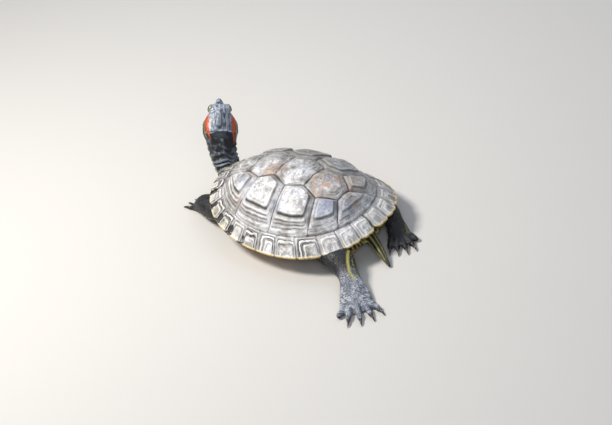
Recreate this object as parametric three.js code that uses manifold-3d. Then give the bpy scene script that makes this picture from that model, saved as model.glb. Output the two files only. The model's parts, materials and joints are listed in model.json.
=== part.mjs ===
// Red-eared slider turtle, life size, lying on its belly with the head raised and turned to its right.
// Frame: +X towards the turtle's nose end of the shell, +Y to its left, +Z up, millimetres.
// The origin is on the flat underside of the lower shell, below the middle of the upper shell.
import * as THREE from 'three';
import { mergeVertices } from 'three/addons/utils/BufferGeometryUtils.js';
import Module from 'manifold-3d';

const wasm = await Module();
wasm.setup();

// ---- driving dimensions ----
const shell = {
  frontHalf: 99, rearHalf: 105, halfWidth: 77.5, // plan of the upper shell about the origin
  taper: 0.09, roundness: 0.03,                 // narrower in front than behind
  squareness: 0.06,                             // fuller between the ends and the sides
  top: 72,                                      // height of the back over the floor
  rimSide: 19.5, rimFront: 38, rimRear: 23,       // dome height at the rim before the flare is added
  flareSide: 1, flareFront: 2, flareRear: 4,    // lift of the rim, so that the edge turns outwards
  sulcus: 0.835,                                // share of the radius where the rim plates begin
  plate: 3.5,                                   // thickness of a horn-and-bone plate
  keel: 1, keelWidth: 6,
};
const gap = 0.3;          // clearance between neighbouring solids
const seam = 0.2;         // half of the gap between two plates
const plastronTop = 6.5;
const head = {
  rear: new THREE.Vector3(117.6, -17.2, 62), heading: -53, pitch: 37, roll: 15,
  eye: new THREE.Vector3(33, 8.2, 6.4), eyeRadius: 4.3,
};

const colour = {
  horn: 0x8f8b83, belly: 0xc7a94e, skin: 0x3b403a, claw: 0x4a4338, eye: 0xb8b04a,
};
const finish = {};
for (const [name, value] of Object.entries(colour)) {
  finish[name] = new THREE.MeshStandardMaterial({ color: value, roughness: 0.7, metalness: 0 });
}

const turtle = new THREE.Group();
turtle.name = 'red_eared_slider';

const degrees = (a) => (a * Math.PI) / 180;
const clamp01 = (v) => Math.min(1, Math.max(0, v));
const mix = (a, b, t) => a + (b - a) * t;
const smooth = (a, b, v) => {
  const t = clamp01((v - a) / (b - a));
  return t * t * (3 - 2 * t);
};

// ---- solids ----
// A closed surface through rings of equal length, capped at both ends by a fan from one point.
function closedLoft(rings, startCap, endCap) {
  const count = rings[0].length;
  const centre = (ring) => ring.reduce((s, p) => s.add(p), new THREE.Vector3()).divideScalar(ring.length);
  const points = [...rings.flat(), startCap ?? centre(rings[0]), endCap ?? centre(rings.at(-1))];
  const faces = [];
  for (let r = 0; r + 1 < rings.length; r++) {
    for (let i = 0; i < count; i++) {
      const j = (i + 1) % count;
      const [a, b, c, d] = [r * count + i, r * count + j, (r + 1) * count + j, (r + 1) * count + i];
      faces.push([a, b, c], [a, c, d]);
    }
  }
  const last = (rings.length - 1) * count;
  for (let i = 0; i < count; i++) {
    const j = (i + 1) % count;
    faces.push([points.length - 2, j, i], [points.length - 1, last + i, last + j]);
  }
  let volume = 0;
  for (const [a, b, c] of faces) volume += points[a].dot(points[b].clone().cross(points[c]));
  if (volume < 0) faces.forEach((f) => f.reverse());
  const geometry = new THREE.BufferGeometry().setFromPoints(points);
  geometry.setIndex(faces.flat());
  return solidOf(geometry);
}

function solidOf(geometry) {
  const plain = geometry.clone();
  plain.deleteAttribute('normal');
  plain.deleteAttribute('uv');
  const merged = mergeVertices(plain, 1e-3);
  return new wasm.Manifold(new wasm.Mesh({
    numProp: 3,
    vertProperties: new Float32Array(merged.attributes.position.array),
    triVerts: new Uint32Array(merged.index.array),
  }));
}

function addNode(name, solid, material) {
  const bodies = solid.decompose().sort((a, b) => b.volume() - a.volume());
  const mesh = bodies[0].getMesh();
  const geometry = new THREE.BufferGeometry();
  geometry.setAttribute('position', new THREE.BufferAttribute(new Float32Array(mesh.vertProperties), 3));
  geometry.setIndex(new THREE.BufferAttribute(new Uint32Array(mesh.triVerts), 1));
  const made = new THREE.Mesh(geometry, material);
  made.name = name;
  turtle.add(made);
  return made;
}

const floorCut = solidOf(new THREE.BoxGeometry(600, 600, 60).translate(0, 0, -30));

// ---- the dome of the upper shell ----
const widthAt = (p) => shell.halfWidth * (1 - shell.taper * p - shell.roundness * p * p);
const fullness = (rho, u) => 1 + shell.squareness * (Math.sin(2 * u) * rho) ** 2;
const planOf = (rho, u) => {
  const reach = rho * fullness(rho, u);
  const p = reach * Math.cos(u);
  return [p * (p > 0 ? shell.frontHalf : shell.rearHalf), reach * Math.sin(u) * widthAt(p)];
};
const polarOf = (x, y) => {
  const p = x / (x > 0 ? shell.frontHalf : shell.rearHalf);
  const q = y / widthAt(p);
  const [reach, u] = [Math.hypot(p, q), Math.atan2(q, p)];
  let rho = reach;
  for (let i = 0; i < 6; i++) rho = reach / fullness(rho, u);
  return [rho, u];
};
function domeAt(rho, u) {
  const front = Math.max(Math.cos(u), 0) ** 2;
  const rear = Math.max(-Math.cos(u), 0) ** 2;
  const rim = shell.rimSide + (shell.rimFront - shell.rimSide) * front + (shell.rimRear - shell.rimSide) * rear;
  const power = 2.35 - 0.2 * front + 0.25 * rear;
  const flare = shell.flareSide + shell.flareFront * front + shell.flareRear * rear;
  return rim + (shell.top - rim) * (1 - rho ** power) + flare * clamp01((rho - 0.8) / 0.2) ** 2;
}
function domeOver(x, y) {
  const [rho, u] = polarOf(x, y);
  return domeAt(rho, u) + shell.keel * Math.exp(-((y / shell.keelWidth) ** 2)) * (1 - smooth(0.6, 0.85, rho));
}

// ---- plates of the back: convex outlines in plan, each drawn in by half a seam ----
const pleuralEdge = shell.sulcus - 0.004;
const edgePoint = (angle) => planOf(pleuralEdge, degrees(angle));
const edgeArc = (from, to, steps = 5) => Array.from({ length: steps + 1 },
  (_, i) => edgePoint(mix(from, to, i / steps)));

// Junctions of the plate seams on the turtle's left, x then y. The right side mirrors them.
const junction = {
  nuchal: [82.5, 6], v1Front: [79, 19], v12: [46, 16], v2Corner: [26, 24], v23: [8, 17],
  v3Corner: [-12, 25], v34: [-32, 17], v4Corner: [-50, 22], v45: [-68, 9],
};
// Directions on the rim, in degrees from the front, where the pleural seams reach it.
const rimSeam = { front: 22, first: 66, second: 101, third: 131, fourth: 155 };

function inset(outline, distance) {
  const count = outline.length;
  const lines = outline.map(([x, y], i) => {
    const [nx, ny] = outline[(i + 1) % count];
    const length = Math.hypot(nx - x, ny - y);
    const normal = [-(ny - y) / length, (nx - x) / length];
    return { normal, offset: normal[0] * x + normal[1] * y + distance };
  });
  return lines.map((b, i) => {
    const a = lines[(i + count - 1) % count];
    const det = a.normal[0] * b.normal[1] - a.normal[1] * b.normal[0];
    return [
      (a.offset * b.normal[1] - b.offset * a.normal[1]) / det,
      (a.normal[0] * b.offset - b.normal[0] * a.offset) / det,
    ];
  });
}

// A plate over a convex outline that runs anticlockwise seen from above.
function plateSolid(outline, ringCount = 3, spacing = 11) {
  const edge = inset(outline, seam);
  const border = edge.flatMap(([x, y], i) => {
    const [nx, ny] = edge[(i + 1) % edge.length];
    const steps = Math.max(1, Math.round(Math.hypot(nx - x, ny - y) / spacing));
    return Array.from({ length: steps }, (_, k) => [mix(x, nx, k / steps), mix(y, ny, k / steps)]);
  });
  const middle = [0, 1].map((k) => border.reduce((s, p) => s + p[k], 0) / border.length);
  const ring = (share, drop) => border.map(([x, y]) => {
    const [a, b] = [mix(middle[0], x, share), mix(middle[1], y, share)];
    return new THREE.Vector3(a, b, domeOver(a, b) - drop);
  });
  const shares = Array.from({ length: ringCount }, (_, i) => (i + 1) / ringCount);
  const rings = [...shares.map((s) => ring(s, 0)), ring(1, shell.plate), ring(0.5, shell.plate)];
  const cap = (drop) => new THREE.Vector3(...middle, domeOver(...middle) - drop);
  return closedLoft(rings, cap(0), cap(shell.plate));
}

const mirrored = ([x, y]) => [x, -y];
const bothSides = (names) => {
  const left = names.map((n) => junction[n]);
  return [...left, ...left.toReversed().map(mirrored)];
};
const j = junction;
const vertebrals = [
  [[82.5, 0], ...bothSides(['v1Front', 'v12'])],
  bothSides(['v12', 'v2Corner', 'v23']),
  bothSides(['v23', 'v3Corner', 'v34']),
  bothSides(['v34', 'v4Corner', 'v45']),
  [...[j.v45], ...edgeArc(rimSeam.fourth, 360 - rimSeam.fourth, 6), mirrored(j.v45)],
];
vertebrals.forEach((outline, i) => addNode(`vertebral_${i + 1}`, plateSolid(outline), finish.horn));

const leftPleurals = [
  [j.v1Front, ...edgeArc(rimSeam.front, rimSeam.first), j.v2Corner, j.v12],
  [j.v2Corner, ...edgeArc(rimSeam.first, rimSeam.second, 4), j.v3Corner, j.v23],
  [j.v3Corner, ...edgeArc(rimSeam.second, rimSeam.third, 4), j.v4Corner, j.v34],
  [j.v4Corner, ...edgeArc(rimSeam.third, rimSeam.fourth, 4), j.v45],
];
leftPleurals.forEach((outline, i) => {
  addNode(`pleural_left_${i + 1}`, plateSolid(outline), finish.horn);
  addNode(`pleural_right_${i + 1}`, plateSolid(outline.map(mirrored).reverse()), finish.horn);
});

// ---- rim plates ----
// Directions of the seams between the twelve rim plates of a side, in degrees from the front.
const marginalSeams = [4, 17, 29, 42, 55, 68, 81, 94, 108, 122, 137, 151, 165, 179.4];
// The back part of the rim is notched at each seam and in the middle of each plate.
function serration(u) {
  const angle = Math.abs(((u * 180) / Math.PI));
  const rear = smooth(115, 150, angle);
  const tooth = Math.max(...marginalSeams.map((a) => 1 - smooth(0, 3.2, Math.abs(angle - a))));
  const notch = 1 - smooth(0, 5, 180 - angle);
  return 0.02 * rear * tooth + 0.03 * notch;
}
const underOf = (rho) => mix(7, 2.8, (rho - shell.sulcus) / (1 - shell.sulcus));

function rimStrip(from, to, steps, grow = 0) {
  const tops = [shell.sulcus - grow / 85, 0.9, 0.97];
  const unders = [0.94, shell.sulcus - grow / 85];
  const rings = Array.from({ length: steps + 1 }, (_, i) => {
    const u = degrees(mix(from, to, i / steps));
    const reach = 1 - serration(u);
    const at = (rho, drop) => {
      const [x, y] = planOf(rho > 0.9 ? rho * mix(1, reach, (rho - 0.9) / 0.1) : rho, u);
      return new THREE.Vector3(x, y, domeAt(rho, u) - drop);
    };
    return [
      ...tops.map((rho) => at(rho, -grow)),
      at(1 + grow / 85, 1.2),
      ...unders.map((rho) => at(rho, underOf(rho) + grow)),
    ];
  });
  return closedLoft(rings);
}
const rim = { from: 4.1, to: 179.6, steps: 46 };
const rimStep = (rim.to - rim.from) / rim.steps;
addNode('nuchal', rimStrip(-3.8, 3.8, 2), finish.horn);
addNode('marginals_left', rimStrip(rim.from, rim.to, rim.steps), finish.horn);
addNode('marginals_right', rimStrip(-rim.from, -rim.to, rim.steps), finish.horn);
const rimGrown = [1, -1].map((side) => rimStrip(side * (rim.from - 2 * rimStep), side * (rim.to + rimStep),
  rim.steps + 3, gap));

// ---- trunk inside the shell: full at the bridges, drawn in at the leg pockets ----
const pocketAt = (u) => smooth(0.3, 0.6, Math.abs(Math.cos(u)));
function trunkSolid(grow = 0, around = 36) {
  const angles = Array.from({ length: around }, (_, i) => (i / around) * 2 * Math.PI);
  const under = shell.plate + 0.7;
  const topRing = (rho) => angles.map((u) => {
    const [x, y] = planOf(rho + grow / 85, u);
    return new THREE.Vector3(x, y, domeAt(rho, u) - under + grow);
  });
  const wallRing = (bridge, pocket, zBridge, zPocket) => angles.map((u) => {
    const t = pocketAt(u);
    const [x, y] = planOf(mix(bridge, pocket, t) + grow / 85, u);
    return new THREE.Vector3(x, y, mix(zBridge, zPocket, t));
  });
  const floorZ = plastronTop + 0.7 - grow;
  const bottom = (share) => angles.map((u) => {
    const [x, y] = planOf(share * (mix(0.69, 0.6, pocketAt(u)) + grow / 85), u);
    return new THREE.Vector3(x, y, floorZ);
  });
  const rings = [topRing(0.3), topRing(0.6), topRing(0.822), wallRing(0.795, 0.7, 16, 30),
    bottom(1), bottom(0.5)];
  return closedLoft(rings, new THREE.Vector3(0, 0, shell.top - under + grow), new THREE.Vector3(0, 0, floorZ));
}
addNode('trunk', trunkSolid(), finish.skin);
const trunkGrown = trunkSolid(gap);

// ---- lower shell: six bands between seams that cross the midline ----
const plastronHalf = new THREE.SplineCurve([[91, 0], [88, 15], [78, 28], [60, 37], [40, 40], [29, 46],
  [24, 57], [-26, 57], [-33, 46], [-44, 41], [-62, 39], [-76, 31], [-89, 17], [-86, 0]]
  .map(([x, y]) => new THREE.Vector2(x, y)));
// Each seam: x on the midline and how far it has run forwards 45 mm out from it.
const plastronSeams = [[120, 0], [70, 12], [45, 3], [19, 2], [-33, -1], [-60, 3], [-120, 0]];
const bandNames = ['gular', 'humeral', 'pectoral', 'abdominal', 'femoral', 'anal'];
const outlineLeft = plastronHalf.getPoints(32);
const bevel = 1.2;
const plastronPlate = solidOf(new THREE.ExtrudeGeometry(
  new THREE.Shape([...outlineLeft, ...outlineLeft.slice(1, -1).reverse().map((p) => new THREE.Vector2(p.x, -p.y))]),
  {
    depth: plastronTop - 2 * bevel, bevelThickness: bevel, bevelSize: bevel, bevelOffset: -bevel, bevelSegments: 1,
  },
).translate(0, 0, bevel));
// The front and back ends turn up a little. A grown band is a cutter that leaves a clearance.
const bandSolid = (flat, spread, lift) => {
  const band = flat.getMesh();
  const place = band.vertProperties;
  for (let k = 0; k < place.length; k += 3) {
    const x = place[k];
    place[k] *= 1 + spread / 50;
    place[k + 1] *= 1 + spread / 50;
    place[k + 2] += lift + (x > 0 ? 5 * clamp01((x - 72) / 18) : 3 * clamp01((-x - 66) / 22));
  }
  return new wasm.Manifold(band);
};
const bands = bandNames.map((name, i) => {
  const seamLine = ([x, run], away) => [80, 0, -80].map((y) => [x + (run * Math.abs(y)) / 45 + away, y]);
  const outline = [...seamLine(plastronSeams[i], -gap / 2), ...seamLine(plastronSeams[i + 1], gap / 2).reverse()];
  const column = new THREE.ExtrudeGeometry(new THREE.Shape(outline.map(([x, y]) => new THREE.Vector2(x, y))),
    { depth: 30, bevelEnabled: false }).translate(0, 0, -5);
  const flat = plastronPlate.intersect(solidOf(column));
  addNode(`plastron_${name}`, bandSolid(flat, 0, 0), finish.belly);
  return flat;
});
const plastronGrown = [plastronPlate, bands[0], bands.at(-1)].flatMap(
  (flat) => [bandSolid(flat, gap, gap), bandSolid(flat, gap, 0)]);
const middleGrown = solidOf(new THREE.BoxGeometry(110, 78, plastronTop + gap)
  .translate(0, 0, (plastronTop + gap) / 2));

// ---- bridges between the upper and the lower shell ----
function bridgeSolid(side, grow = 0) {
  const [from, to, steps] = [66 - grow, 117 + grow, 7];
  const rings = Array.from({ length: steps + 1 }, (_, i) => {
    const u = side * degrees(mix(from, to, i / steps));
    const at = (rho, z) => {
      const [x, y] = planOf(rho, u);
      return new THREE.Vector3(x, y, z);
    };
    const below = (rho) => domeAt(rho, u) - underOf(rho) - 0.5;
    return [at(0.95, below(0.95)), at(0.86, 9 - grow), at(0.755, 1), at(0.722, 1), at(0.822, 11),
      at(0.865, below(0.865))];
  });
  return closedLoft(rings);
}
const clearOfBelly = (solid) => [...plastronGrown, middleGrown].reduce((s, cutter) => s.subtract(cutter), solid);
addNode('bridge_left', clearOfBelly(bridgeSolid(1)), finish.belly);
addNode('bridge_right', clearOfBelly(bridgeSolid(-1)), finish.belly);

// ---- limbs, neck and tail: tubes of oval section along a curve ----
const upward = new THREE.Vector3(0, 0, 1);
class Limb {
  // stations: [x, y, z, half width, half height]
  constructor(stations, sides = 10) {
    this.sides = sides;
    this.curve = new THREE.CatmullRomCurve3(stations.map((s) => new THREE.Vector3(s[0], s[1], s[2])), false, 'centripetal');
    this.size = new THREE.SplineCurve(stations.map((s) => new THREE.Vector2(s[3], s[4])));
  }

  ring(t, grow = 0) {
    const centre = this.curve.getPoint(t);
    const along = this.curve.getTangent(t).normalize();
    const side = new THREE.Vector3().crossVectors(upward, along).normalize();
    const normal = new THREE.Vector3().crossVectors(along, side);
    const { x: halfWidth, y: halfHeight } = this.size.getPoint(t);
    return Array.from({ length: this.sides }, (_, i) => {
      const a = (i / this.sides) * 2 * Math.PI;
      return centre.clone().addScaledVector(side, (halfWidth + grow) * Math.cos(a))
        .addScaledVector(normal, (halfHeight + grow) * Math.sin(a));
    });
  }

  // A grown piece also reaches on past its end, to cut a clearance there.
  piece(from, to, steps, grow = 0) {
    const rings = Array.from({ length: steps + 1 }, (_, i) => this.ring(mix(from, to, i / steps), grow));
    return closedLoft(grow ? [...rings, this.ring(to + 0.008, grow)] : rings);
  }
}

const clearOfShell = (solid) => [trunkGrown, ...rimGrown, floorCut]
  .reduce((s, cutter) => s.subtract(cutter), clearOfBelly(solid));

const neck = new Limb([[48, -3, 20, 15, 11.5], [72, -5, 20, 14.5, 11.5], [92, -7, 20.5, 14, 11.5],
  [105, -9.5, 27, 13.6, 12.5], [112, -11.5, 39.5, 13.8, 13], [115, -14, 52, 15.2, 12.8], [119.5, -20, 64, 16.2, 12.2],
  [125.6, -28, 70.5, 15.6, 12]]);
addNode('neck', clearOfShell(neck.piece(0, 0.83, 10)), finish.skin);

// ---- head, in its own frame: x towards the snout from the back of the skull, z up ----
// Stations: x, half width, height above the axis, depth below it.
const headStations = [[-0.5, 15.8, 11, 12], [6, 18.8, 12.4, 13.4], [13, 19.8, 13.2, 13.4], [20, 18, 13.4, 12.4],
  [26, 14.2, 13.2, 11.2], [31, 11.8, 12.4, 10.4], [35.5, 10.2, 10.6, 9.4], [39.5, 6.8, 7.6, 8.4],
  [43.5, 4.2, 5.2, 6.6], [47, 1.9, 3, 3]];
const headPlace = new THREE.Matrix4().makeTranslation(head.rear)
  .multiply(new THREE.Matrix4().makeRotationZ(degrees(head.heading)))
  .multiply(new THREE.Matrix4().makeRotationY(degrees(-head.pitch)))
  .multiply(new THREE.Matrix4().makeRotationX(degrees(head.roll)));
function headSolid() {
  const width = new THREE.SplineCurve(headStations.map((s) => new THREE.Vector2(s[0], s[1])));
  const above = new THREE.SplineCurve(headStations.map((s) => new THREE.Vector2(s[0], s[2])));
  const below = new THREE.SplineCurve(headStations.map((s) => new THREE.Vector2(s[0], s[3])));
  const [steps, sides, power] = [11, 16, 0.86];
  const rings = Array.from({ length: steps + 1 }, (_, i) => {
    const t = i / steps;
    const [w, up, down] = [width.getPoint(t), above.getPoint(t), below.getPoint(t)];
    return Array.from({ length: sides }, (_, k) => {
      const a = (k / sides) * 2 * Math.PI;
      const [c, s] = [Math.cos(a), Math.sin(a)];
      const y = Math.sign(c) * Math.abs(c) ** power * w.y;
      const z = Math.sign(s) * Math.abs(s) ** power * (s > 0 ? up.y : down.y);
      return new THREE.Vector3(w.x, y, z).applyMatrix4(headPlace);
    });
  });
  return closedLoft(rings);
}
const ballAt = (radius, side) => {
  const place = head.eye.clone().multiply(new THREE.Vector3(1, side, 1)).applyMatrix4(headPlace);
  return solidOf(new THREE.SphereGeometry(radius, 10, 7).translate(place.x, place.y, place.z));
};
const neckEnd = neck.piece(0.4, 0.83, 5, gap);
const skull = headSolid().subtract(neckEnd).subtract(ballAt(head.eyeRadius + gap, 1))
  .subtract(ballAt(head.eyeRadius + gap, -1));
addNode('head', skull, finish.skin);
addNode('eye_left', ballAt(head.eyeRadius, 1), finish.eye);
addNode('eye_right', ballAt(head.eyeRadius, -1), finish.eye);

const tail = new Limb([[-52, 0, 17, 12, 9], [-78, 0, 17, 9, 7.6], [-99, 4, 13, 5.8, 5.4], [-117, 12, 6.4, 4, 4],
  [-134, 21, 2.2, 1.5, 1.5]], 8);
addNode('tail', clearOfShell(tail.piece(0, 1, 10)), finish.skin);

// ---- legs ----
// A toe runs from its root along a direction in plan, and its claw goes on from its tip.
function toeParts(root, angle, length, radius, claw) {
  const way = new THREE.Vector3(Math.cos(angle), Math.sin(angle), 0);
  const at = (distance, z) => root.clone().addScaledVector(way, distance).setZ(z);
  const row = (distance, z, w, h) => [...at(distance, z).toArray(), w, h];
  const toe = new Limb([row(-6, radius, radius, radius), row(length * 0.5, radius * 1.25, radius, radius),
    row(length, radius * 0.95, radius * 0.85, radius * 0.9)], 6);
  const start = length + gap;
  const nail = new Limb([row(start, radius, 1.5, 1.6), row(start + claw * 0.5, radius * 0.95, 1.1, 1.2),
    row(start + claw, 0.6, 0.35, 0.45)], 5);
  return { toe: toe.piece(0, 1, 3).subtract(floorCut), nail: nail.piece(0, 1, 2).subtract(floorCut) };
}

// A leg is cut across at its named joints. The foot is its last length with the toes joined on.
function addLeg(name, stations, cuts, names, foot) {
  const limb = new Limb(stations);
  const slit = 0.0035;
  const bounds = [0, ...cuts, 1];
  const pieces = names.map((_, i) => limb.piece(bounds[i] + (i ? slit : 0), bounds[i + 1] - (i < 2 ? slit : 0), i ? 3 : 4));
  const wrist = limb.curve.getPoint(cuts[1]);
  const end = limb.curve.getPoint(1);
  const heading = Math.atan2(end.y - wrist.y, end.x - wrist.x);
  const across = new THREE.Vector3(-Math.sin(heading), Math.cos(heading), 0);
  foot.toes.forEach(([offset, turn, length], i) => {
    const root = end.clone().addScaledVector(across, offset);
    const { toe, nail } = toeParts(root, heading + degrees(turn), length, foot.radius, foot.claw);
    pieces[2] = pieces[2].add(toe);
    if (i < foot.claws) addNode(`claw_${name}_${i + 1}`, nail, finish.claw);
  });
  names.forEach((part, i) => addNode(`${part}_${name}`, clearOfShell(pieces[i]), finish.skin));
}

// Toes: place across the foot, turn in degrees, length. The first is the inner toe, and spread opens the fan.
const fan = (side, rows, spread = 1) => rows.map(
  ([offset, turn, length]) => [side * offset * spread, side * turn * spread, length]);
const handToes = [[-9, -26, 7], [-4.8, -12, 9.5], [0, 0, 10.5], [4.8, 12, 9.5], [9, 27, 7]];
const footToes = [[-16, -24, 11], [-8, -12, 16], [0, 0, 18], [8, 12, 16], [15.5, 30, 9]];
const hand = (side) => ({ toes: fan(side, handToes), radius: 2.7, claw: 8, claws: 5 });
const paddle = (side, spread) => ({ toes: fan(side, footToes, spread), radius: 2.9, claw: 8.5, claws: 4 });
const armNames = ['upper_arm', 'forearm', 'hand'];
const legNames = ['thigh', 'shank', 'foot'];

addLeg('front_left', [[50, 34, 18, 13, 10], [74, 40, 18, 13, 11], [94, 37, 16, 12.5, 11.5], [108, 32.5, 12.5, 11.3, 10.5],
  [117, 29, 7.5, 10.8, 6.8], [123, 26.5, 3.6, 11.4, 3.8]], [0.42, 0.74], armNames, hand(1));
addLeg('front_right', [[48, -34, 18, 13, 10], [68, -46, 18, 13, 10], [84, -58, 15, 11.5, 9.5], [94, -66, 11, 10, 8],
  [103, -72, 6.5, 10.5, 5.5], [108, -75, 3.4, 11.5, 3.6]], [0.42, 0.74], armNames, hand(-1));
addLeg('hind_left', [[-44, 36, 17, 14, 10], [-68, 42, 17, 14, 10.5], [-94, 49, 16, 13.5, 11], [-115, 61, 10.5, 10.8, 8.2],
  [-133, 76, 5.7, 15, 5.4], [-148, 90, 3, 19, 3.3]], [0.44, 0.72], legNames, paddle(-1, 1));
addLeg('hind_right', [[-44, -36, 17, 14, 10], [-64, -42, 17, 13, 10.4], [-84, -40, 15, 12, 10.2], [-98, -33, 10, 10, 7.6],
  [-108, -26, 5.6, 11.5, 5], [-116, -20, 3, 13, 3.3]], [0.42, 0.72], legNames, paddle(1, 0.72));

export default turtle;
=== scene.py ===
import json
import math
from functools import partial
import bmesh
import bpy
import numpy as np
from mathutils import Euler, Matrix, Vector, noise

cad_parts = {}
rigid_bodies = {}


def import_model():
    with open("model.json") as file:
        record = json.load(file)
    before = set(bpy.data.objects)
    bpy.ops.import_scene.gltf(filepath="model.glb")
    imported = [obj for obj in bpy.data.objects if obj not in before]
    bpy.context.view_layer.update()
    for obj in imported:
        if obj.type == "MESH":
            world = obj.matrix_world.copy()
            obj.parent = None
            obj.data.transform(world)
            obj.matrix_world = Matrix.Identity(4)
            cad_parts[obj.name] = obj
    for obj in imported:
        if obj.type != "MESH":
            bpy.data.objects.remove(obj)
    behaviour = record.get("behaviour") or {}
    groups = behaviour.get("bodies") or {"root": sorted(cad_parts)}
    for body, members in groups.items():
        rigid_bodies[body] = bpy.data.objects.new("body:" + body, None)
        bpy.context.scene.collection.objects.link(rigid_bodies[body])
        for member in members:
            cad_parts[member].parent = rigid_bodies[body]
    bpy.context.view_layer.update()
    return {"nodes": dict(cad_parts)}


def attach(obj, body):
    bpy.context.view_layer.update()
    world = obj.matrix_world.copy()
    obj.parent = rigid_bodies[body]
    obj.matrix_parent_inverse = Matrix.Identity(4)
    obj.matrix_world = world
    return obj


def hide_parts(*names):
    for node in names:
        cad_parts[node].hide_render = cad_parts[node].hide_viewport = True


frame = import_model()
mm = 0.001
sceneObjects = bpy.context.scene.collection.objects

# All shapes below are worked out in millimetres in the CAD frame: +X to the front, +Y to the turtle's left, +Z up.


def clamp(v, low=0.0, high=1.0):
    return np.minimum(high, np.maximum(low, v))


def smooth(a, b, v):
    t = clamp((v - a) / (b - a))
    return t * t * (3 - 2 * t)


# rises from a to b and falls again from c to d
def span(v, a, b, c, d):
    return smooth(a, b, v) * (1 - smooth(c, d, v))


def mix(a, b, t):
    return a + (b - a) * t


def bell(v, width):
    return np.exp(-(v / width) ** 2)


def unit(v):
    return v / np.maximum(np.linalg.norm(v, axis=-1, keepdims=True), 1e-9)


def hexColor(text):
    parts = [int(text[i:i + 2], 16) / 255 for i in (1, 3, 5)]
    return [p / 12.92 if p <= 0.04045 else ((p + 0.055) / 1.055) ** 2.4 for p in parts] + [1.0]


# smooth noise at each point, from the height and the width of its lumps in mm
def lumps(points, shape, seed):
    height, width = shape
    start = Vector((seed, seed, seed))
    return height * np.array([noise.fractal(Vector(p) / width + start, 1.0, 2.0, 2) for p in points])


def pieceName(node):
    first, *rest = node.split("_")
    return first + "".join(word.title() for word in rest)


def coordinates(bm):
    return np.array([v.co[:] for v in bm.verts])


def place(bm, points):
    for v, p in zip(bm.verts, points):
        v.co = p


# numbers for each point (one, or a row of three) that the materials read
def layOn(bm, fields):
    for key, values in fields.items():
        rows = np.ndim(values) == 2
        layer = (bm.verts.layers.float_vector if rows else bm.verts.layers.float).new(key)
        for v, amount in zip(bm.verts, values):
            v[layer] = Vector(amount) if rows else float(amount)


def objectFrom(name, bm):
    place(bm, coordinates(bm) * mm)
    mesh = bpy.data.meshes.new(name)
    bm.to_mesh(mesh)
    bm.free()
    made = bpy.data.objects.new(name, mesh)
    sceneObjects.link(made)
    return made


def finishPiece(name, bm, material, replaced):
    piece = objectFrom(name, bm)
    piece.data.materials.append(material)
    for polygon in piece.data.polygons:
        polygon.use_smooth = True
    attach(piece, "root")
    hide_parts(*replaced)


# keeps the turned-down borders of a plate crisp
def sharpen(bm, angle=0.9):
    for e in bm.edges:
        e.smooth = len(e.link_faces) != 2 or e.calc_face_angle(0.0) < angle


# a flat grid over the unit square, whose points are then carried to their places
def unitGrid(across, along):
    bm = bmesh.new()
    bmesh.ops.create_grid(bm, x_segments=across, y_segments=along, size=0.5)
    place(bm, coordinates(bm) + [0.5, 0.5, 0])
    return bm


# grid rows become closed rings, and both ends are shut
def closeRings(bm, weld=0.002):
    bmesh.ops.remove_doubles(bm, verts=bm.verts, dist=weld)
    bmesh.ops.holes_fill(bm, edges=[e for e in bm.edges if len(e.link_faces) == 1], sides=0)
    bmesh.ops.recalc_face_normals(bm, faces=bm.faces)


# the border of an open plate is drawn down to a level and closed below
def closeBelow(bm, levelAt):
    made = bmesh.ops.extrude_edge_only(bm, edges=[e for e in bm.edges if len(e.link_faces) == 1])["geom"]
    for v in made:
        if isinstance(v, bmesh.types.BMVert):
            v.co.z = levelAt(v.co)
    loop = [e for e in made if isinstance(e, bmesh.types.BMEdge) and len(e.link_faces) == 1]
    cap = bmesh.ops.contextual_create(bm, geom=loop)["faces"]
    bmesh.ops.recalc_face_normals(bm, faces=bm.faces)
    return cap


# settings that many nodes of the materials share
times, timesPlus, inColour = {"operation": "MULTIPLY"}, {"operation": "MULTIPLY_ADD"}, {"data_type": "RGBA"}


# Inputs come by name or in their order: numbers, hex colours, outputs, or an output with the ramp that it goes through.
def addNode(tree, kind, inputs=(), out=None, ramp=(), **settings):
    node = tree.nodes.new("ShaderNode" + kind)
    for key, value in settings.items():
        setattr(node, key, value)
    stops = node.color_ramp.elements if ramp else []
    while len(stops) < len(ramp):
        stops.new(1.0)
    for stop, (position, colour) in zip(stops, ramp):
        stop.position = position
        stop.color = hexColor(colour) if isinstance(colour, str) else (colour, colour, colour, 1)
    inOrder = [socket for socket in node.inputs if socket.enabled]
    for key, value in inputs.items() if isinstance(inputs, dict) else enumerate(inputs):
        socket = node.inputs[key] if isinstance(key, str) else inOrder[key]
        if isinstance(value, tuple) and isinstance(value[0], bpy.types.NodeSocket):
            value = addNode(tree, "ValToRGB", value[:1], ramp=value[1])
        if isinstance(value, bpy.types.NodeSocket):
            tree.links.new(value, socket)
        else:
            socket.default_value = hexColor(value) if isinstance(value, str) else value
    return node.outputs[out] if out else next((socket for socket in node.outputs if socket.enabled), None)


# Places are the object's own, in m, and those laid on its points, in mm. A noise has its place, its size in
# thousandths of that place's unit, detail, roughness and bend.
def startMaterial(name, places=(), fields=(), noises=()):
    material = bpy.data.materials.new(name)
    material.use_nodes = True
    material.node_tree.nodes.clear()
    add = partial(addNode, material.node_tree)
    spots = [add("TexCoord", out="Object")] + [add("Attribute", out="Vector", attribute_name=key) for key in places]
    read = [add("Attribute", out="Fac", attribute_name=key) for key in fields]
    drawn = [add("TexNoise", {"Vector": spots[spot], "Scale": 1000 / size, "Detail": detail, "Roughness": rough,
                              "Distortion": bend}) for spot, size, detail, rough, bend in noises]
    return (material, add, *spots, *read, *drawn)


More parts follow.
